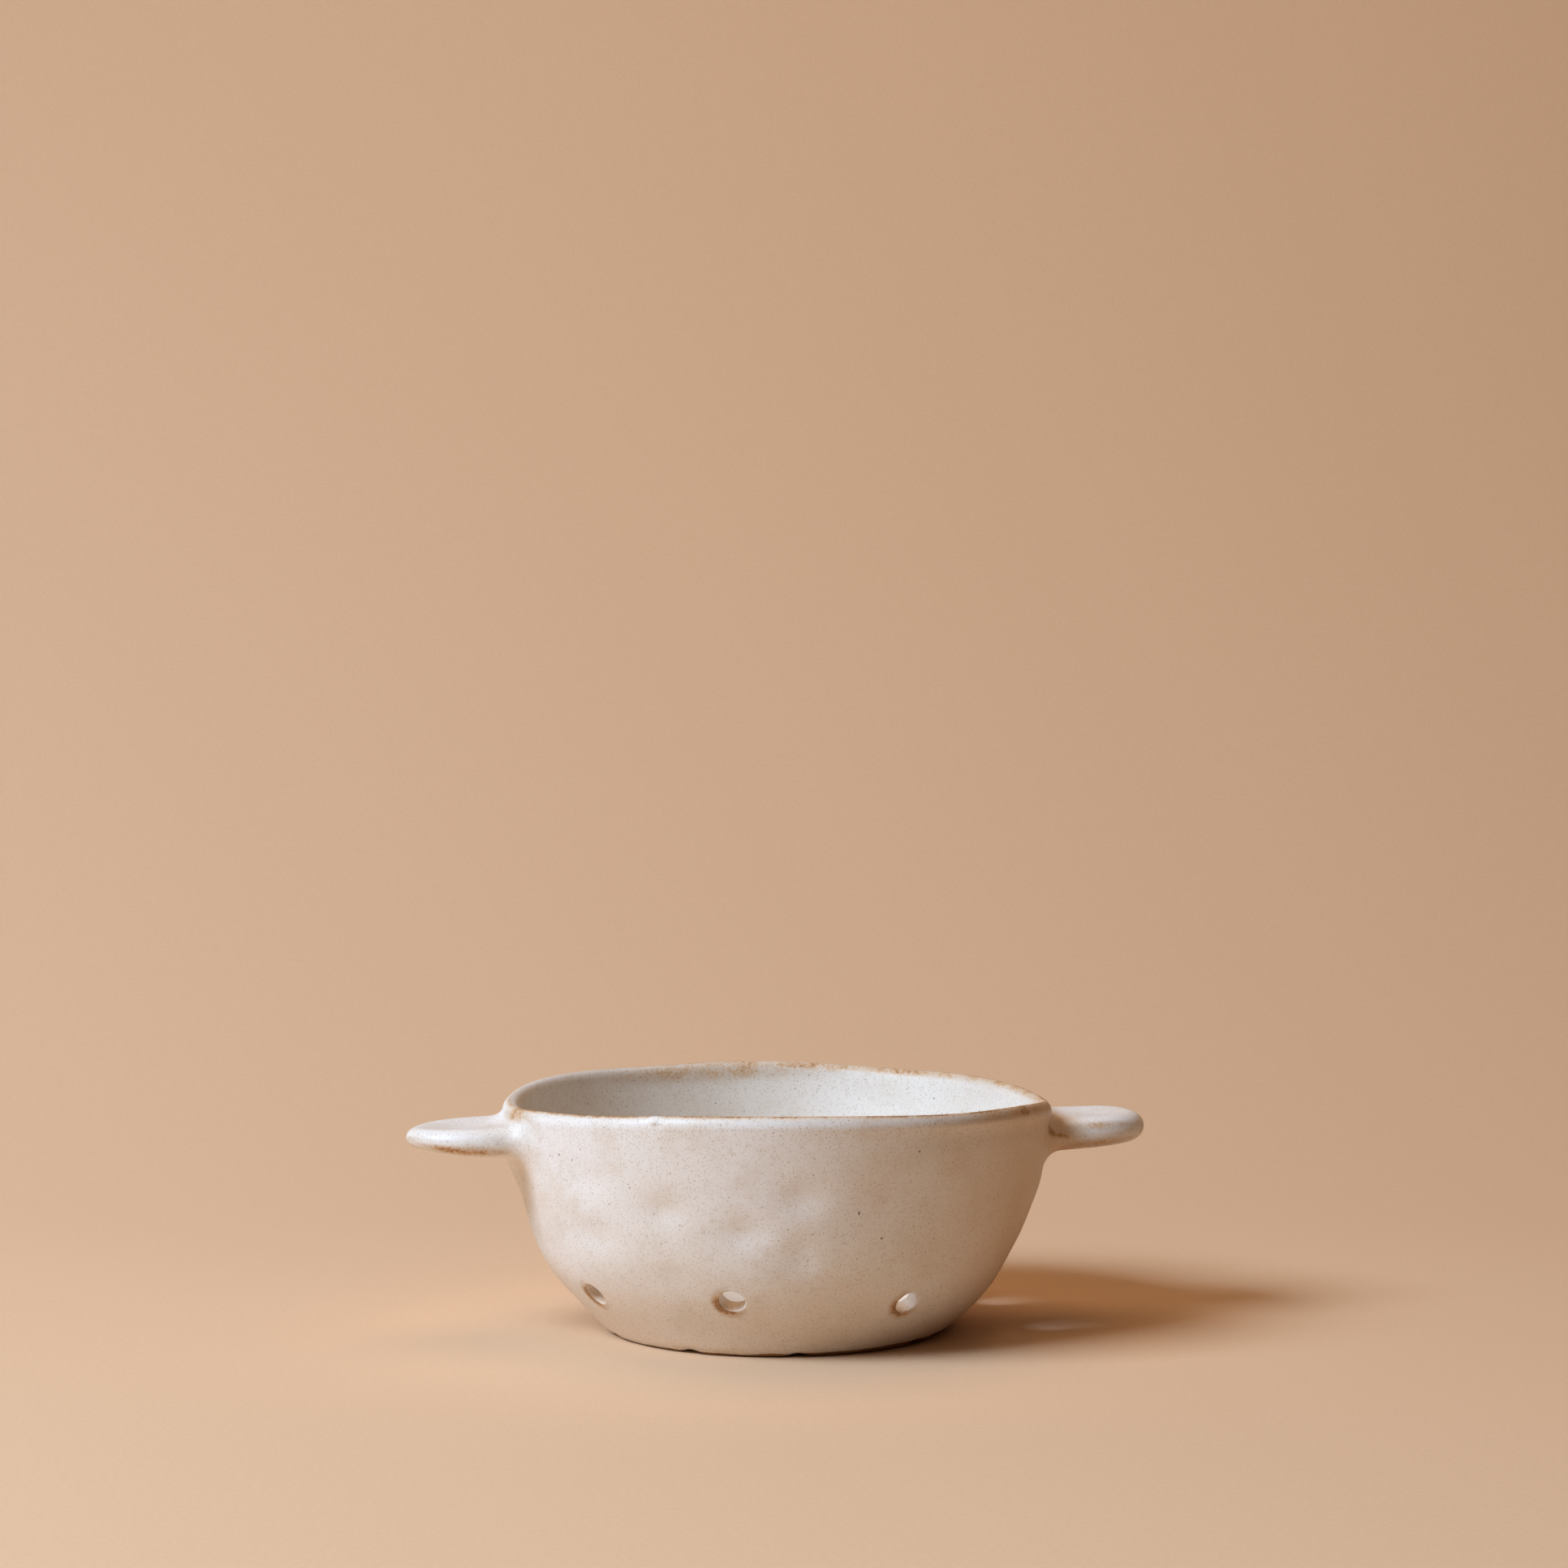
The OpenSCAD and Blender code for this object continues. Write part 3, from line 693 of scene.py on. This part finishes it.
def lug_skin(lug, x, turn):
    """Points of a lug: half width by a round end, thickness by the distance to the edge."""
    out = np.clip((x - RIM_R) / (lug.reach - RIM_R), 0, 1)
    end_share = np.clip((x - lug.reach + lug.end) / lug.end, 0, 1)
    half_width, power = lug.width / 2, lug.power
    y = half_width * (1 - end_share ** power) ** (1 / power) * np.cos(turn)
    edge = (end_share ** power + np.abs(y / half_width) ** power) ** (1 / power)
    from_edge = (1 - np.minimum(edge, 1)) * (half_width + (lug.end - half_width) * end_share)
    swell = np.sqrt(1 - np.clip(1 - from_edge / EDGE_R, 0, 1) ** 2)
    middle = lug.root_z + (lug.tip_z - lug.root_z) * out
    thick = (lug.root_t + (lug.tip_t - lug.root_t) * out) / 2
    hollow = np.clip(1 - ((x - DISH_X) / DISH_LONG) ** 2 - (y / DISH_WIDE) ** 2, 0, 1) ** 2 * lug.dish
    rise = np.sin(turn)
    z = middle + np.sign(rise) * thick * swell - np.where(rise > 0, hollow, 0)
    z = z + 0.15 * np.sin(x / 4.5 + 1) * np.cos(y / 5 + lug.side)
    return np.stack(np.broadcast_arrays(x, y, z), axis=-1)


def wall_beside(lug, y, z):
    """The bowl's outside beside a lug, by y and z: x from the radius at the bearing, six times over."""
    x = np.sqrt(RIM_R ** 2 - y ** 2)
    for _ in range(6):
        bearing = np.degrees(np.arctan2(y, lug.side * x))
        x = np.sqrt(np.maximum(outer_r(bearing, z), 1) ** 2 - y ** 2)
    return np.stack(np.broadcast_arrays(x, y, z), axis=-1)


# %% Where a lug and the wall meet
# The root stays under the crest, eased there so that its edge has no corner, and ends in the wall
UNDER_CREST, EASE, SUNK = 1.0, 1.1, 0.03
NUDGE = 0.05


def outwards(lug):
    """Which way a lug's section faces at its root, as steps along y and z for each turn."""
    ring = lug_skin(lug, RIM_R, turns)[:, 1:]
    tangent = np.roll(ring, -1, axis=0) - np.roll(ring, 1, axis=0)
    return unit(np.stack([tangent[:, 1], -tangent[:, 0]], axis=1))


def meeting(lug):
    """Points where a lug's skin cuts the wall: the wall's x beside the skin, until the two agree."""
    x = np.full(turns.shape, RIM_R)
    for _ in range(8):
        meet = lug_skin(lug, x, turns)
        x = wall_beside(lug, meet[:, 1], meet[:, 2])[:, 0]
    return lug_skin(lug, x, turns)


def wall_ring(lug, meet, faces, on_wall):
    """Where the root ends on the wall, under the crest: bearings, points, the way there and normals."""
    y, z = meet[:, 1] + on_wall * faces[:, 0], meet[:, 2] + on_wall * faces[:, 1]
    beside = np.degrees(np.arctan2(y, lug.side * meet[:, 0]))
    highest = crest(beside) - UNDER_CREST
    z = highest - EASE * np.log1p(np.exp((highest - z) / EASE))
    ring = wall_beside(lug, y, z)
    along_y, along_z = wall_beside(lug, y + NUDGE, z) - ring, wall_beside(lug, y, z + NUDGE) - ring
    normals = unit(np.cross(along_y, along_z))
    way_there = unit(wall_beside(lug, y + NUDGE * faces[:, 0], z + NUDGE * faces[:, 1]) - ring)
    return beside, ring - SUNK * normals, way_there, normals


# %% The root coil, and the tongue
SIDE_FILLET = 6.5, 8.5
WALL_PULL, LUG_PULL = 0.55, 0.62
BURIED, LAST_TURN = 1.6, np.radians(88.5)


def root_coil(lug):
    """A cubic curve for each turn, from the wall towards the meeting line and out on to the lug."""
    faces, meet = outwards(lug), meeting(lug)
    up, down = np.clip(faces[:, 1], 0, 1) ** 2, np.clip(-faces[:, 1], 0, 1) ** 2
    on_lug, on_wall = (side * (1 - up - down) + top * up + under * down
                       for side, top, under in zip(SIDE_FILLET, lug.top_fillet, lug.under_fillet))
    beside, ring, way_there, normals = wall_ring(lug, meet, faces, on_wall)
    start_x = meet[:, 0] + on_lug
    tip_ring = lug_skin(lug, start_x, turns)
    way_out = unit(lug_skin(lug, start_x + NUDGE, turns) - tip_ring)
    near_wall = ring - WALL_PULL * np.linalg.norm(meet - ring, axis=1)[:, None] * way_there
    near_lug = tip_ring - LUG_PULL * np.linalg.norm(meet - tip_ring, axis=1)[:, None] * way_out
    buried = meet - BURIED * np.column_stack([np.ones(len(faces)), faces])
    return SimpleNamespace(fillet=cubic(ring, near_wall, near_lug, tip_ring, steps(19)), beside=beside,
                           back=np.stack([tip_ring, buried, ring]), up=up, normals=normals, start_x=start_x)


def tongue(lug, start_x):
    """Rows of a lug's skin, spaced by the sine of the turn round its end, and closed at the tip."""
    bend, side_x = lug.reach - lug.end, start_x.max() + 1.0
    along_x = start_x + (side_x - start_x) * steps(5)[:-1]
    end_turn = np.linspace(np.arcsin((side_x - bend) / lug.end), LAST_TURN, 34)
    end_x = np.repeat((bend + lug.end * np.sin(end_turn))[:, None], len(turns), 1)
    skin = lug_skin(lug, np.concatenate([along_x, end_x]), turns)
    tip = np.broadcast_to([lug.reach, 0, skin[-1, :, 2].mean()], skin[:1].shape)
    return np.concatenate([skin, tip])


roots = {name: root_coil(lug) for name, lug in lugs.items()}
tongues = {name: tongue(lug, roots[name].start_x) for name, lug in lugs.items()}
print("lugs reach", [f"{skin[..., 0].max():.1f}" for skin in tongues.values()], "mm out")


# %% Patches of the lugs, with the places where their glaze is thin
def thin_and_shade_on_lug(lug, skin):
    """How the glaze thins on a lug: bells of the turn round it times bells of the way out, over a faint wash
    of painted shade.
    """
    share = (skin[..., 0] - RIM_R) / (lug.reach - RIM_R)
    # Painted shade: a faint wash over the whole lug, which dims its lit top
    thin_glaze_and_shade = np.full(share.shape, 0.11)
    for strength, at_turn, wide, at_share, long in lug.thin_glaze_and_shade:
        round_it = bell(off(turn_degrees, at_turn), wide)
        thin_glaze_and_shade = np.maximum(thin_glaze_and_shade, strength * round_it * bell(share - at_share, long))
    return thin_glaze_and_shade


def thin_and_shade_on_root(lug, root):
    """How the glaze thins on a root coil, with painted shade: a faint wash towards the lug, a dark line in
    its fold, and thinner glaze where the lip is near.
    """
    strength, at_turn, at_share = lug.crease_shade
    climb = steps(len(root.fillet))
    past = climb - at_share
    # Painted shade: a dark line where the fold between the lug's root and the lip lies in shade
    crease_shade = strength * bell(off(turn_degrees, at_turn + 14 * past), 4) * bell(past, 0.42)
    by_lip = np.interp(root.beside, bearings, near_lugs[crest_row], period=360)
    return np.maximum(0.13 * climb ** 2 + crease_shade, by_lip * root.up * bell(climb, 0.4))


lug_patches = []
for name, lug in lugs.items():
    root, skin, mirror = roots[name], tongues[name], np.array([lug.side, 1, 1])
    hub = np.broadcast_to(skin[0].mean(axis=0) - [2.0, 0, 0], skin[:1].shape)
    parts = [(name + "_lug", skin, {"thin_glaze_and_shade": thin_and_shade_on_lug(lug, skin)}),
             (name + "_lug", np.concatenate([hub, skin[:1]]), {"hidden": True}),
             (name + "_lug_root", root.fillet,
              {"thin_glaze_and_shade": thin_and_shade_on_root(lug, root), "edge": root.normals * mirror}),
             (name + "_lug_root", root.back, {"hidden": True})]
    lug_patches.append([patch(piece, points * mirror, flip=lug.side < 0, **more)
                        for piece, points, more in parts])
print("patches of each lug:", len(lug_patches[0]))

# %% [markdown]
# ## A satin white stoneware glaze
#
# The bowl was dipped in a white stoneware glaze, satin rather than glossy, over an iron-bearing
# clay. Iron comes up through it as fine brown specks, it turns tan where it is thin on edges, and
# it is never an even tone. The specks could be a picture, but cells of a Voronoi pattern give as
# many as are wanted at their real size. Two attributes that were sewn in say where the glaze is
# thin, with painted shade added on the lip's round, the lugs and one lug's fold, and which side is
# inside. Painted shade also darkens the right side of the outside and the foot's right. A glaze is
# a glass, so its IOR is 1.5, and a roughness of 0.42 to 0.5 spreads the window's reflection into a
# soft sheen.

# %% Colours, sizes and nodes
# Nodes in use: Blender's name, settings, the sockets that values go to in turn, and the output
PLACE = "ShaderNodeTexCoord", {}, (), "Object"
THIN_AND_SHADE = "ShaderNodeAttribute", {"attribute_name": "thin_glaze_and_shade"}, (), "Fac"
INNER = "ShaderNodeAttribute", {"attribute_name": "inner"}, (), "Fac"
MIX = "ShaderNodeMix", {"data_type": "RGBA"}, (0, 6, 7), 2
SPREAD = "ShaderNodeMapRange", {"interpolation_type": "SMOOTHSTEP"}, range(5), 0
PLUS, LESS, TIMES, LARGER, UNDER = (
    ("ShaderNodeMath", {"operation": operation}, (0, 1), 0)
    for operation in ("ADD", "SUBTRACT", "MULTIPLY", "MAXIMUM", "LESS_THAN"))
CLOUDS = "ShaderNodeTexNoise", {}, ("Vector", "Scale", "Detail", "Roughness"), "Fac"
CLOUD_COLOURS = "ShaderNodeTexNoise", {}, ("Vector", "Scale", "Detail"), "Color"
CELLS = "ShaderNodeTexVoronoi", {}, ("Vector", "Scale"), None
CHANNELS = "ShaderNodeSeparateColor", {}, (0,), None
AXES = "ShaderNodeSeparateXYZ", {}, (0,), None
SHIFTED = "ShaderNodeVectorMath", {"operation": "MULTIPLY_ADD"}, (0, 1, 2), 0
LENGTH = "ShaderNodeVectorMath", {"operation": "LENGTH"}, (0,), "Value"
CENTRED = "ShaderNodeMapping", {}, ("Vector", "Location", "Scale"), 0
BUMP = "ShaderNodeBump", {}, ("Height", "Distance", "Strength"), 0


def add_node(tree, node, *values):
    """Add a node with its settings, set or link its sockets in turn, and return its output or outputs."""
    kind, settings, sockets, output = node
    made = tree.nodes.new(kind)
    for name, value in settings.items():
        setattr(made, name, value)
    for name, value in zip(sockets, values):
        if isinstance(value, bpy.types.NodeSocket):
            tree.links.new(value, made.inputs[name])
        else:
            made.inputs[name].default_value = value
    return made.outputs if output is None else made.outputs[output]


def linear(code):
    """A colour from its sRGB hex code, turned linear: a power curve above a short straight start."""
    value = np.array([int(code[i:i + 2], 16) for i in (1, 3, 5)]) / 255
    value = np.where(value <= 0.04045, value / 12.92, ((value + 0.055) / 1.055) ** 2.4)
    return (*value.tolist(), 1.0)


def per_metre(size_mm):
    """The scale that gives a pattern cells of a size in millimetres."""
    return 1 / (size_mm * MM)


print("white in linear light:", np.round(linear("#f2f0ec"), 2))


# %% Tones of the white
def tinted(add, colour, where, low, high, most, code):
    """Lay a tone over a colour: nothing where a value is low, up to a share of most where it is high."""
    return add(MIX, add(SPREAD, where, low, high, 0, most), colour, linear(code))


def tones(add, at):
    """Two slow whites on each side, cream clouds, warmth low down, painted shade on the right, fine mottle.
    """
    slow = add(SPREAD, add(CLOUDS, at.spot, per_metre(34), 3), 0.35, 0.68)
    colour = add(MIX, at.inner, add(MIX, slow, linear("#f2f0ec"), linear("#eee9e1")),
                 add(MIX, slow, linear("#eee7dc"), linear("#e7ddd0")))
    cloud = add(CLOUDS, at.spot, per_metre(15), 4, 0.6)
    colour = tinted(add, colour, cloud, 0.48, 0.72, 0.38, "#d9c9b2")
    ragged = add(PLUS, at.height, add(TIMES, cloud, 24 * MM))
    low = add(SPREAD, ragged, 40 * MM, 14 * MM, 0, 0.43)
    # Painted shade: the right side of the outside, away from the window lamp, is tinted darker and warmer
    # with #e0be96; the low tone only grows warmer towards the bottom
    right = add(TIMES, add(SPREAD, at.rightwards, 15 * MM, 68 * MM, 0, 0.72),
                add(SPREAD, at.rightwards, 84 * MM, 76 * MM))
    low_warmth_and_painted_shade = add(TIMES, add(LARGER, low, right), add(LESS, 1, at.inner))
    colour = add(MIX, low_warmth_and_painted_shade, colour, linear("#e0be96"))
    return tinted(add, colour, at.mottle, 0.54, 0.78, 0.35, "#cdb99f")


# %% Where it is thin it turns cream, then tan, then brown, and the cream also carries painted shade
def thinned(add, at, colour):
    """Three tones by the attribute of thinner glaze and painted shade, the last two broken up by grain and
    by patches.
    """
    # The cream tone is also painted shade over the lip's round, the lugs and the fold at one lug's root
    colour = tinted(add, colour, at.thin_glaze_and_shade, 0, 0.45, 0.6, "#d3c1ab")
    broken = add(TIMES, at.thin_glaze_and_shade, add(SPREAD, at.grain, 0.3, 0.7, 0.5, 1.4))
    broken = add(TIMES, broken, add(SPREAD, at.patches, 0.35, 0.65, 0.7, 1.25))
    colour = tinted(add, colour, broken, 0.22, 1.0, 0.8, "#cf9f68")
    return tinted(add, colour, broken, 0.75, 1.4, 0.8, "#93643a")


# %% Iron specks
def specks(add, spot, cell, radius, chance):
    """Round specks: a cell shows one if its own random number is under the chance."""
    cells = add(CELLS, spot, per_metre(cell))
    near = add(SPREAD, cells["Distance"], radius / cell, 0.55 * radius / cell)
    pick = add(CHANNELS, cells["Color"])
    shown = add(TIMES, near, add(UNDER, pick[0], chance))
    return add(TIMES, shown, add(SPREAD, pick[1], 0, 1, 0.35, 1))


def speckled(add, at, colour):
    """Fine dust, then fine, middling, edge and coarse specks, their outlines bent by a third of a mm."""
    bends = add(CLOUD_COLOURS, at.spot, per_metre(0.6), 1)
    bent = add(SHIFTED, bends, Vector([0.35 * MM] * 3), at.spot)
    near_lip = add(LARGER, add(SPREAD, at.thin_glaze_and_shade, 0.04, 0.4),
                   add(SPREAD, at.height, 50 * MM, 64 * MM, 0, 0.75))
    dust = add(CLOUDS, at.spot, per_metre(0.55), 1)
    colour = tinted(add, colour, dust, 0.5, 0.78, 0.4, "#c3a98b")
    for where, share, code in (
            (specks(add, bent, 0.8, 0.23, 0.55), 0.46, "#9f7750"),
            (specks(add, bent, 2.1, 0.27, 0.4), 0.75, "#84603f"),
            (add(TIMES, specks(add, bent, 0.9, 0.25, 0.6), near_lip), 0.75, "#93683f"),
            (specks(add, bent, 9.0, 0.36, 0.35), 0.85, "#5f4633")):
        colour = add(MIX, add(TIMES, where, share), colour, linear(code))
    return colour


def marked(add, at, colour, marks):
    """Dark spots of their own: the length of the way from a mark, stretched, against its size."""
    for mark, size, stretch in marks:
        start = Vector([-a * MM * b for a, b in zip(mark, stretch)])
        away = add(LENGTH, add(CENTRED, at.spot, start, stretch))
        colour = tinted(add, colour, away, size * MM, 0.35 * size * MM, 0.9, "#47331f")
    return colour


# %% Bare clay under a wavy line, with painted shade where the line rises, and the whole glaze
def bare_below(add, at, line, colour, rough):
    """Unglazed brown stoneware: matt, sandy, with small dark grits, below a line that waves; its tilt up to
    the right is painted shade.
    """
    waver = add(TIMES, add(LESS, at.patches, 0.5), 1.1 * MM)
    # The rise of the line to the right lays painted shade: the foot's contact shadow, drawn as more brown
    # clay
    wavy = add(LESS, add(PLUS, at.height, waver), add(TIMES, at.rightwards, 0.015))
    bare_clay_and_painted_shade = add(SPREAD, wavy, (line + 0.25) * MM, line * MM)
    clay = add(MIX, at.grain, linear("#84592f"), linear("#ab7a48"))
    clay = add(MIX, specks(add, at.spot, 1.1, 0.3, 0.5), clay, linear("#6a4729"))
    return add(MIX, bare_clay_and_painted_shade, colour, clay), add(PLUS, rough, add(TIMES, bare_clay_and_painted_shade, 0.42))


def glaze(name, marks=(), bare_line=None):
    """Satin white stoneware glaze: tones, thinner glaze on edges, painted shade, specks and marks, with pits
    and faint waves.
    """
    material = bpy.data.materials.new(name)
    material.use_nodes = True
    tree = material.node_tree
    shader = tree.nodes["Principled BSDF"].inputs
    add = partial(add_node, tree)
    spot = add(PLACE)
    rightwards, _, height = add(AXES, spot)
    at = SimpleNamespace(
        spot=spot, rightwards=rightwards, height=height, inner=add(INNER), thin_glaze_and_shade=add(THIN_AND_SHADE),
        patches=add(CLOUDS, spot, per_metre(5.5), 2),
        mottle=add(CLOUDS, spot, per_metre(2.6), 4, 0.65),
        grain=add(CLOUDS, spot, per_metre(1.0), 4, 0.75))
    colour = marked(add, at, speckled(add, at, thinned(add, at, tones(add, at))), marks)
    rough = add(SPREAD, at.mottle, 0.3, 0.7, 0.42, 0.5)
    if bare_line:
        colour, rough = bare_below(add, at, bare_line, colour, rough)
    pits = add(TIMES, add(CLOUDS, spot, per_metre(0.7), 2), 0.12)
    relief = add(PLUS, pits, add(CLOUDS, spot, per_metre(5), 2))
    tree.links.new(colour, shader["Base Color"])
    tree.links.new(rough, shader["Roughness"])
    tree.links.new(add(BUMP, relief, 0.16 * MM, 0.6), shader["Normal"])
    shader["IOR"].default_value = 1.5
    return material


# %% Three finishes
# Bearing and height, size in millimetres and stretch of the larger dark spots on the wall
wall_marks = [(outside(np.float64(bearing), np.float64(z)).tolist(), size, stretch)
              for bearing, z, size, stretch in (
                  (-85, 40.2, 0.62, (1.7, 1.7, 0.75)), (-79.3, 33.2, 0.45, (1, 1, 1)),
                  (-72.8, 55.6, 0.42, (1, 1, 1)), (-153.9, 52.4, 0.4, (1, 1, 1)))]
wall_glaze = glaze("satin white stoneware glaze", wall_marks)
lip_glaze = glaze("satin white stoneware glaze, broken to tan")
foot_glaze = glaze("satin white stoneware glaze over a bare foot", bare_line=1.0)
print("finishes:", ", ".join(m.name for m in (wall_glaze, lip_glaze, foot_glaze)))

# %% Make the meshes, list the imported solid each stands for, and hide those solids
make_pieces(sew(body), {"wall": wall_glaze, "floor": wall_glaze, "lip": lip_glaze, "foot": foot_glaze})
for name, patches in zip(lugs, lug_patches):
    make_pieces(sew(patches), {name + "_lug": lip_glaze, name + "_lug_root": wall_glaze})

stands_for = {"wall": ("bowl_wall", "outside_glaze"), "floor": ("bowl_floor", "inside_glaze"),
              "lip": ("rim_coil", "lip_glaze"), "foot": ("foot_ring", "bare_clay")}
for name in lugs:
    stands_for[name + "_lug"] = name + "_handle", "outside_glaze"
    stands_for[name + "_lug_root"] = name + "_handle_root_coil", "outside_glaze"
for name, (node, slot) in stands_for.items():
    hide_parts(node)
print(len(stands_for), "pieces stand for their nodes")

# %% [markdown]
# ## Paper, light and camera
#
# The bowl stands on a wide sheet of sand-coloured paper that curves up behind it. A plane would
# do, but its far edge would show. A cool window lamp stands to the left. A wide warm lamp overhead
# and a weak one near the camera stand for the light that a room throws back, and they fill the
# shade on the right together with what the paper reflects.

# %% The paper sweep
VIEW_TURN = np.radians(-12)
TO_THE_RIGHT = np.array([np.cos(VIEW_TURN), np.sin(VIEW_TURN), 0.0])
TO_THE_BACK = np.array([-np.sin(VIEW_TURN), np.cos(VIEW_TURN), 0.0])


def paper(width, front, back, rise):
    """A sheet in metres: flat from front to back, then part of a wide circle of radius rise."""
    turn = np.radians(np.linspace(0, 75, 60))[1:, None]
    flat = np.append(front, np.linspace(-0.5, back, 6))[:, None]
    y = np.concatenate([flat, back + rise * np.sin(turn)])
    z = np.concatenate([0 * flat, rise - rise * np.cos(turn)])
    return np.stack(np.broadcast_arrays(np.linspace(-width / 2, width / 2, 9), y, z), axis=-1)


sheet = patch("paper", paper(width=16, front=-8, back=0.2, rise=1.3) / MM, wrap=False)
turned = sheet["points"] @ np.array([TO_THE_RIGHT, TO_THE_BACK, UPRIGHT])
backdrop = smooth_mesh("paper", turned, sheet["quads"].tolist())
print("paper:", len(turned), "points")

# %% Uncoated card, matt, with a faint cloud of fibres
card = bpy.data.materials.new("uncoated sand-coloured card")
card.use_nodes = True
add = partial(add_node, card.node_tree)
shader = card.node_tree.nodes["Principled BSDF"].inputs
fibre = add(SPREAD, add(CLOUDS, add(PLACE), per_metre(1.4), 3), 0.3, 0.7)
card.node_tree.links.new(add(MIX, fibre, linear("#e2bf9a"), linear("#e5c39f")), shader["Base Color"])
shader["Roughness"].default_value = 0.9
backdrop.data.materials.append(card)
print("finish of the paper:", card.name)


# %% Lamps
def aim(thing, target):
    """Turn a lamp or the camera, which look down their own Z, towards a place."""
    thing.rotation_euler = (target - thing.location).to_track_quat("-Z", "Y").to_euler()


def soft_lamp(name, turn, lift, away, size, watts, tone):
    """A wide area lamp that faces the bowl: turn is left of the camera, lift is above the floor."""
    light = bpy.data.lights.new(name, "AREA")
    light.shape = "RECTANGLE"
    light.size, light.size_y = size
    light.energy = watts
    light.color = linear(tone)[:3]
    lamp = in_scene(name, light)
    turn, lift = np.radians(turn), np.radians(lift)
    flat = -np.cos(turn) * TO_THE_BACK - np.sin(turn) * TO_THE_RIGHT
    lamp.location = away * (np.cos(lift) * flat + np.sin(lift) * UPRIGHT)
    aim(lamp, Vector())
    print(name, "lamp:", watts, "W,", away, "m away")


soft_lamp("window", 57, 41, 1.95, (0.95, 0.75), 45.5, "#d5e8ff")
soft_lamp("ceiling", 0, 100, 3.0, (2.4, 2.4), 31, "#ffcfa0")
soft_lamp("room", 20, 24, 3.0, (1.6, 1.6), 3, "#ffeede")
world = bpy.data.worlds.new("room")
world.use_nodes = True
glow = world.node_tree.nodes["Background"].inputs
glow["Color"].default_value = linear("#ffd3b2")
glow["Strength"].default_value = 0.02
scene.world = world

# %% Camera at the photograph's angle
camera = bpy.data.cameras.new("camera")
camera.lens = 84.6
camera.sensor_width = 36
eye = in_scene("camera", camera)
eye.location = (-0.2079, -0.9781, 0.1712)
aim(eye, Vector((0.0014, -0.0003, 0.1477)))
scene.camera = eye
scene.view_settings.view_transform = "Standard"
print(f"camera: {eye.location.length:.2f} m from the bowl")
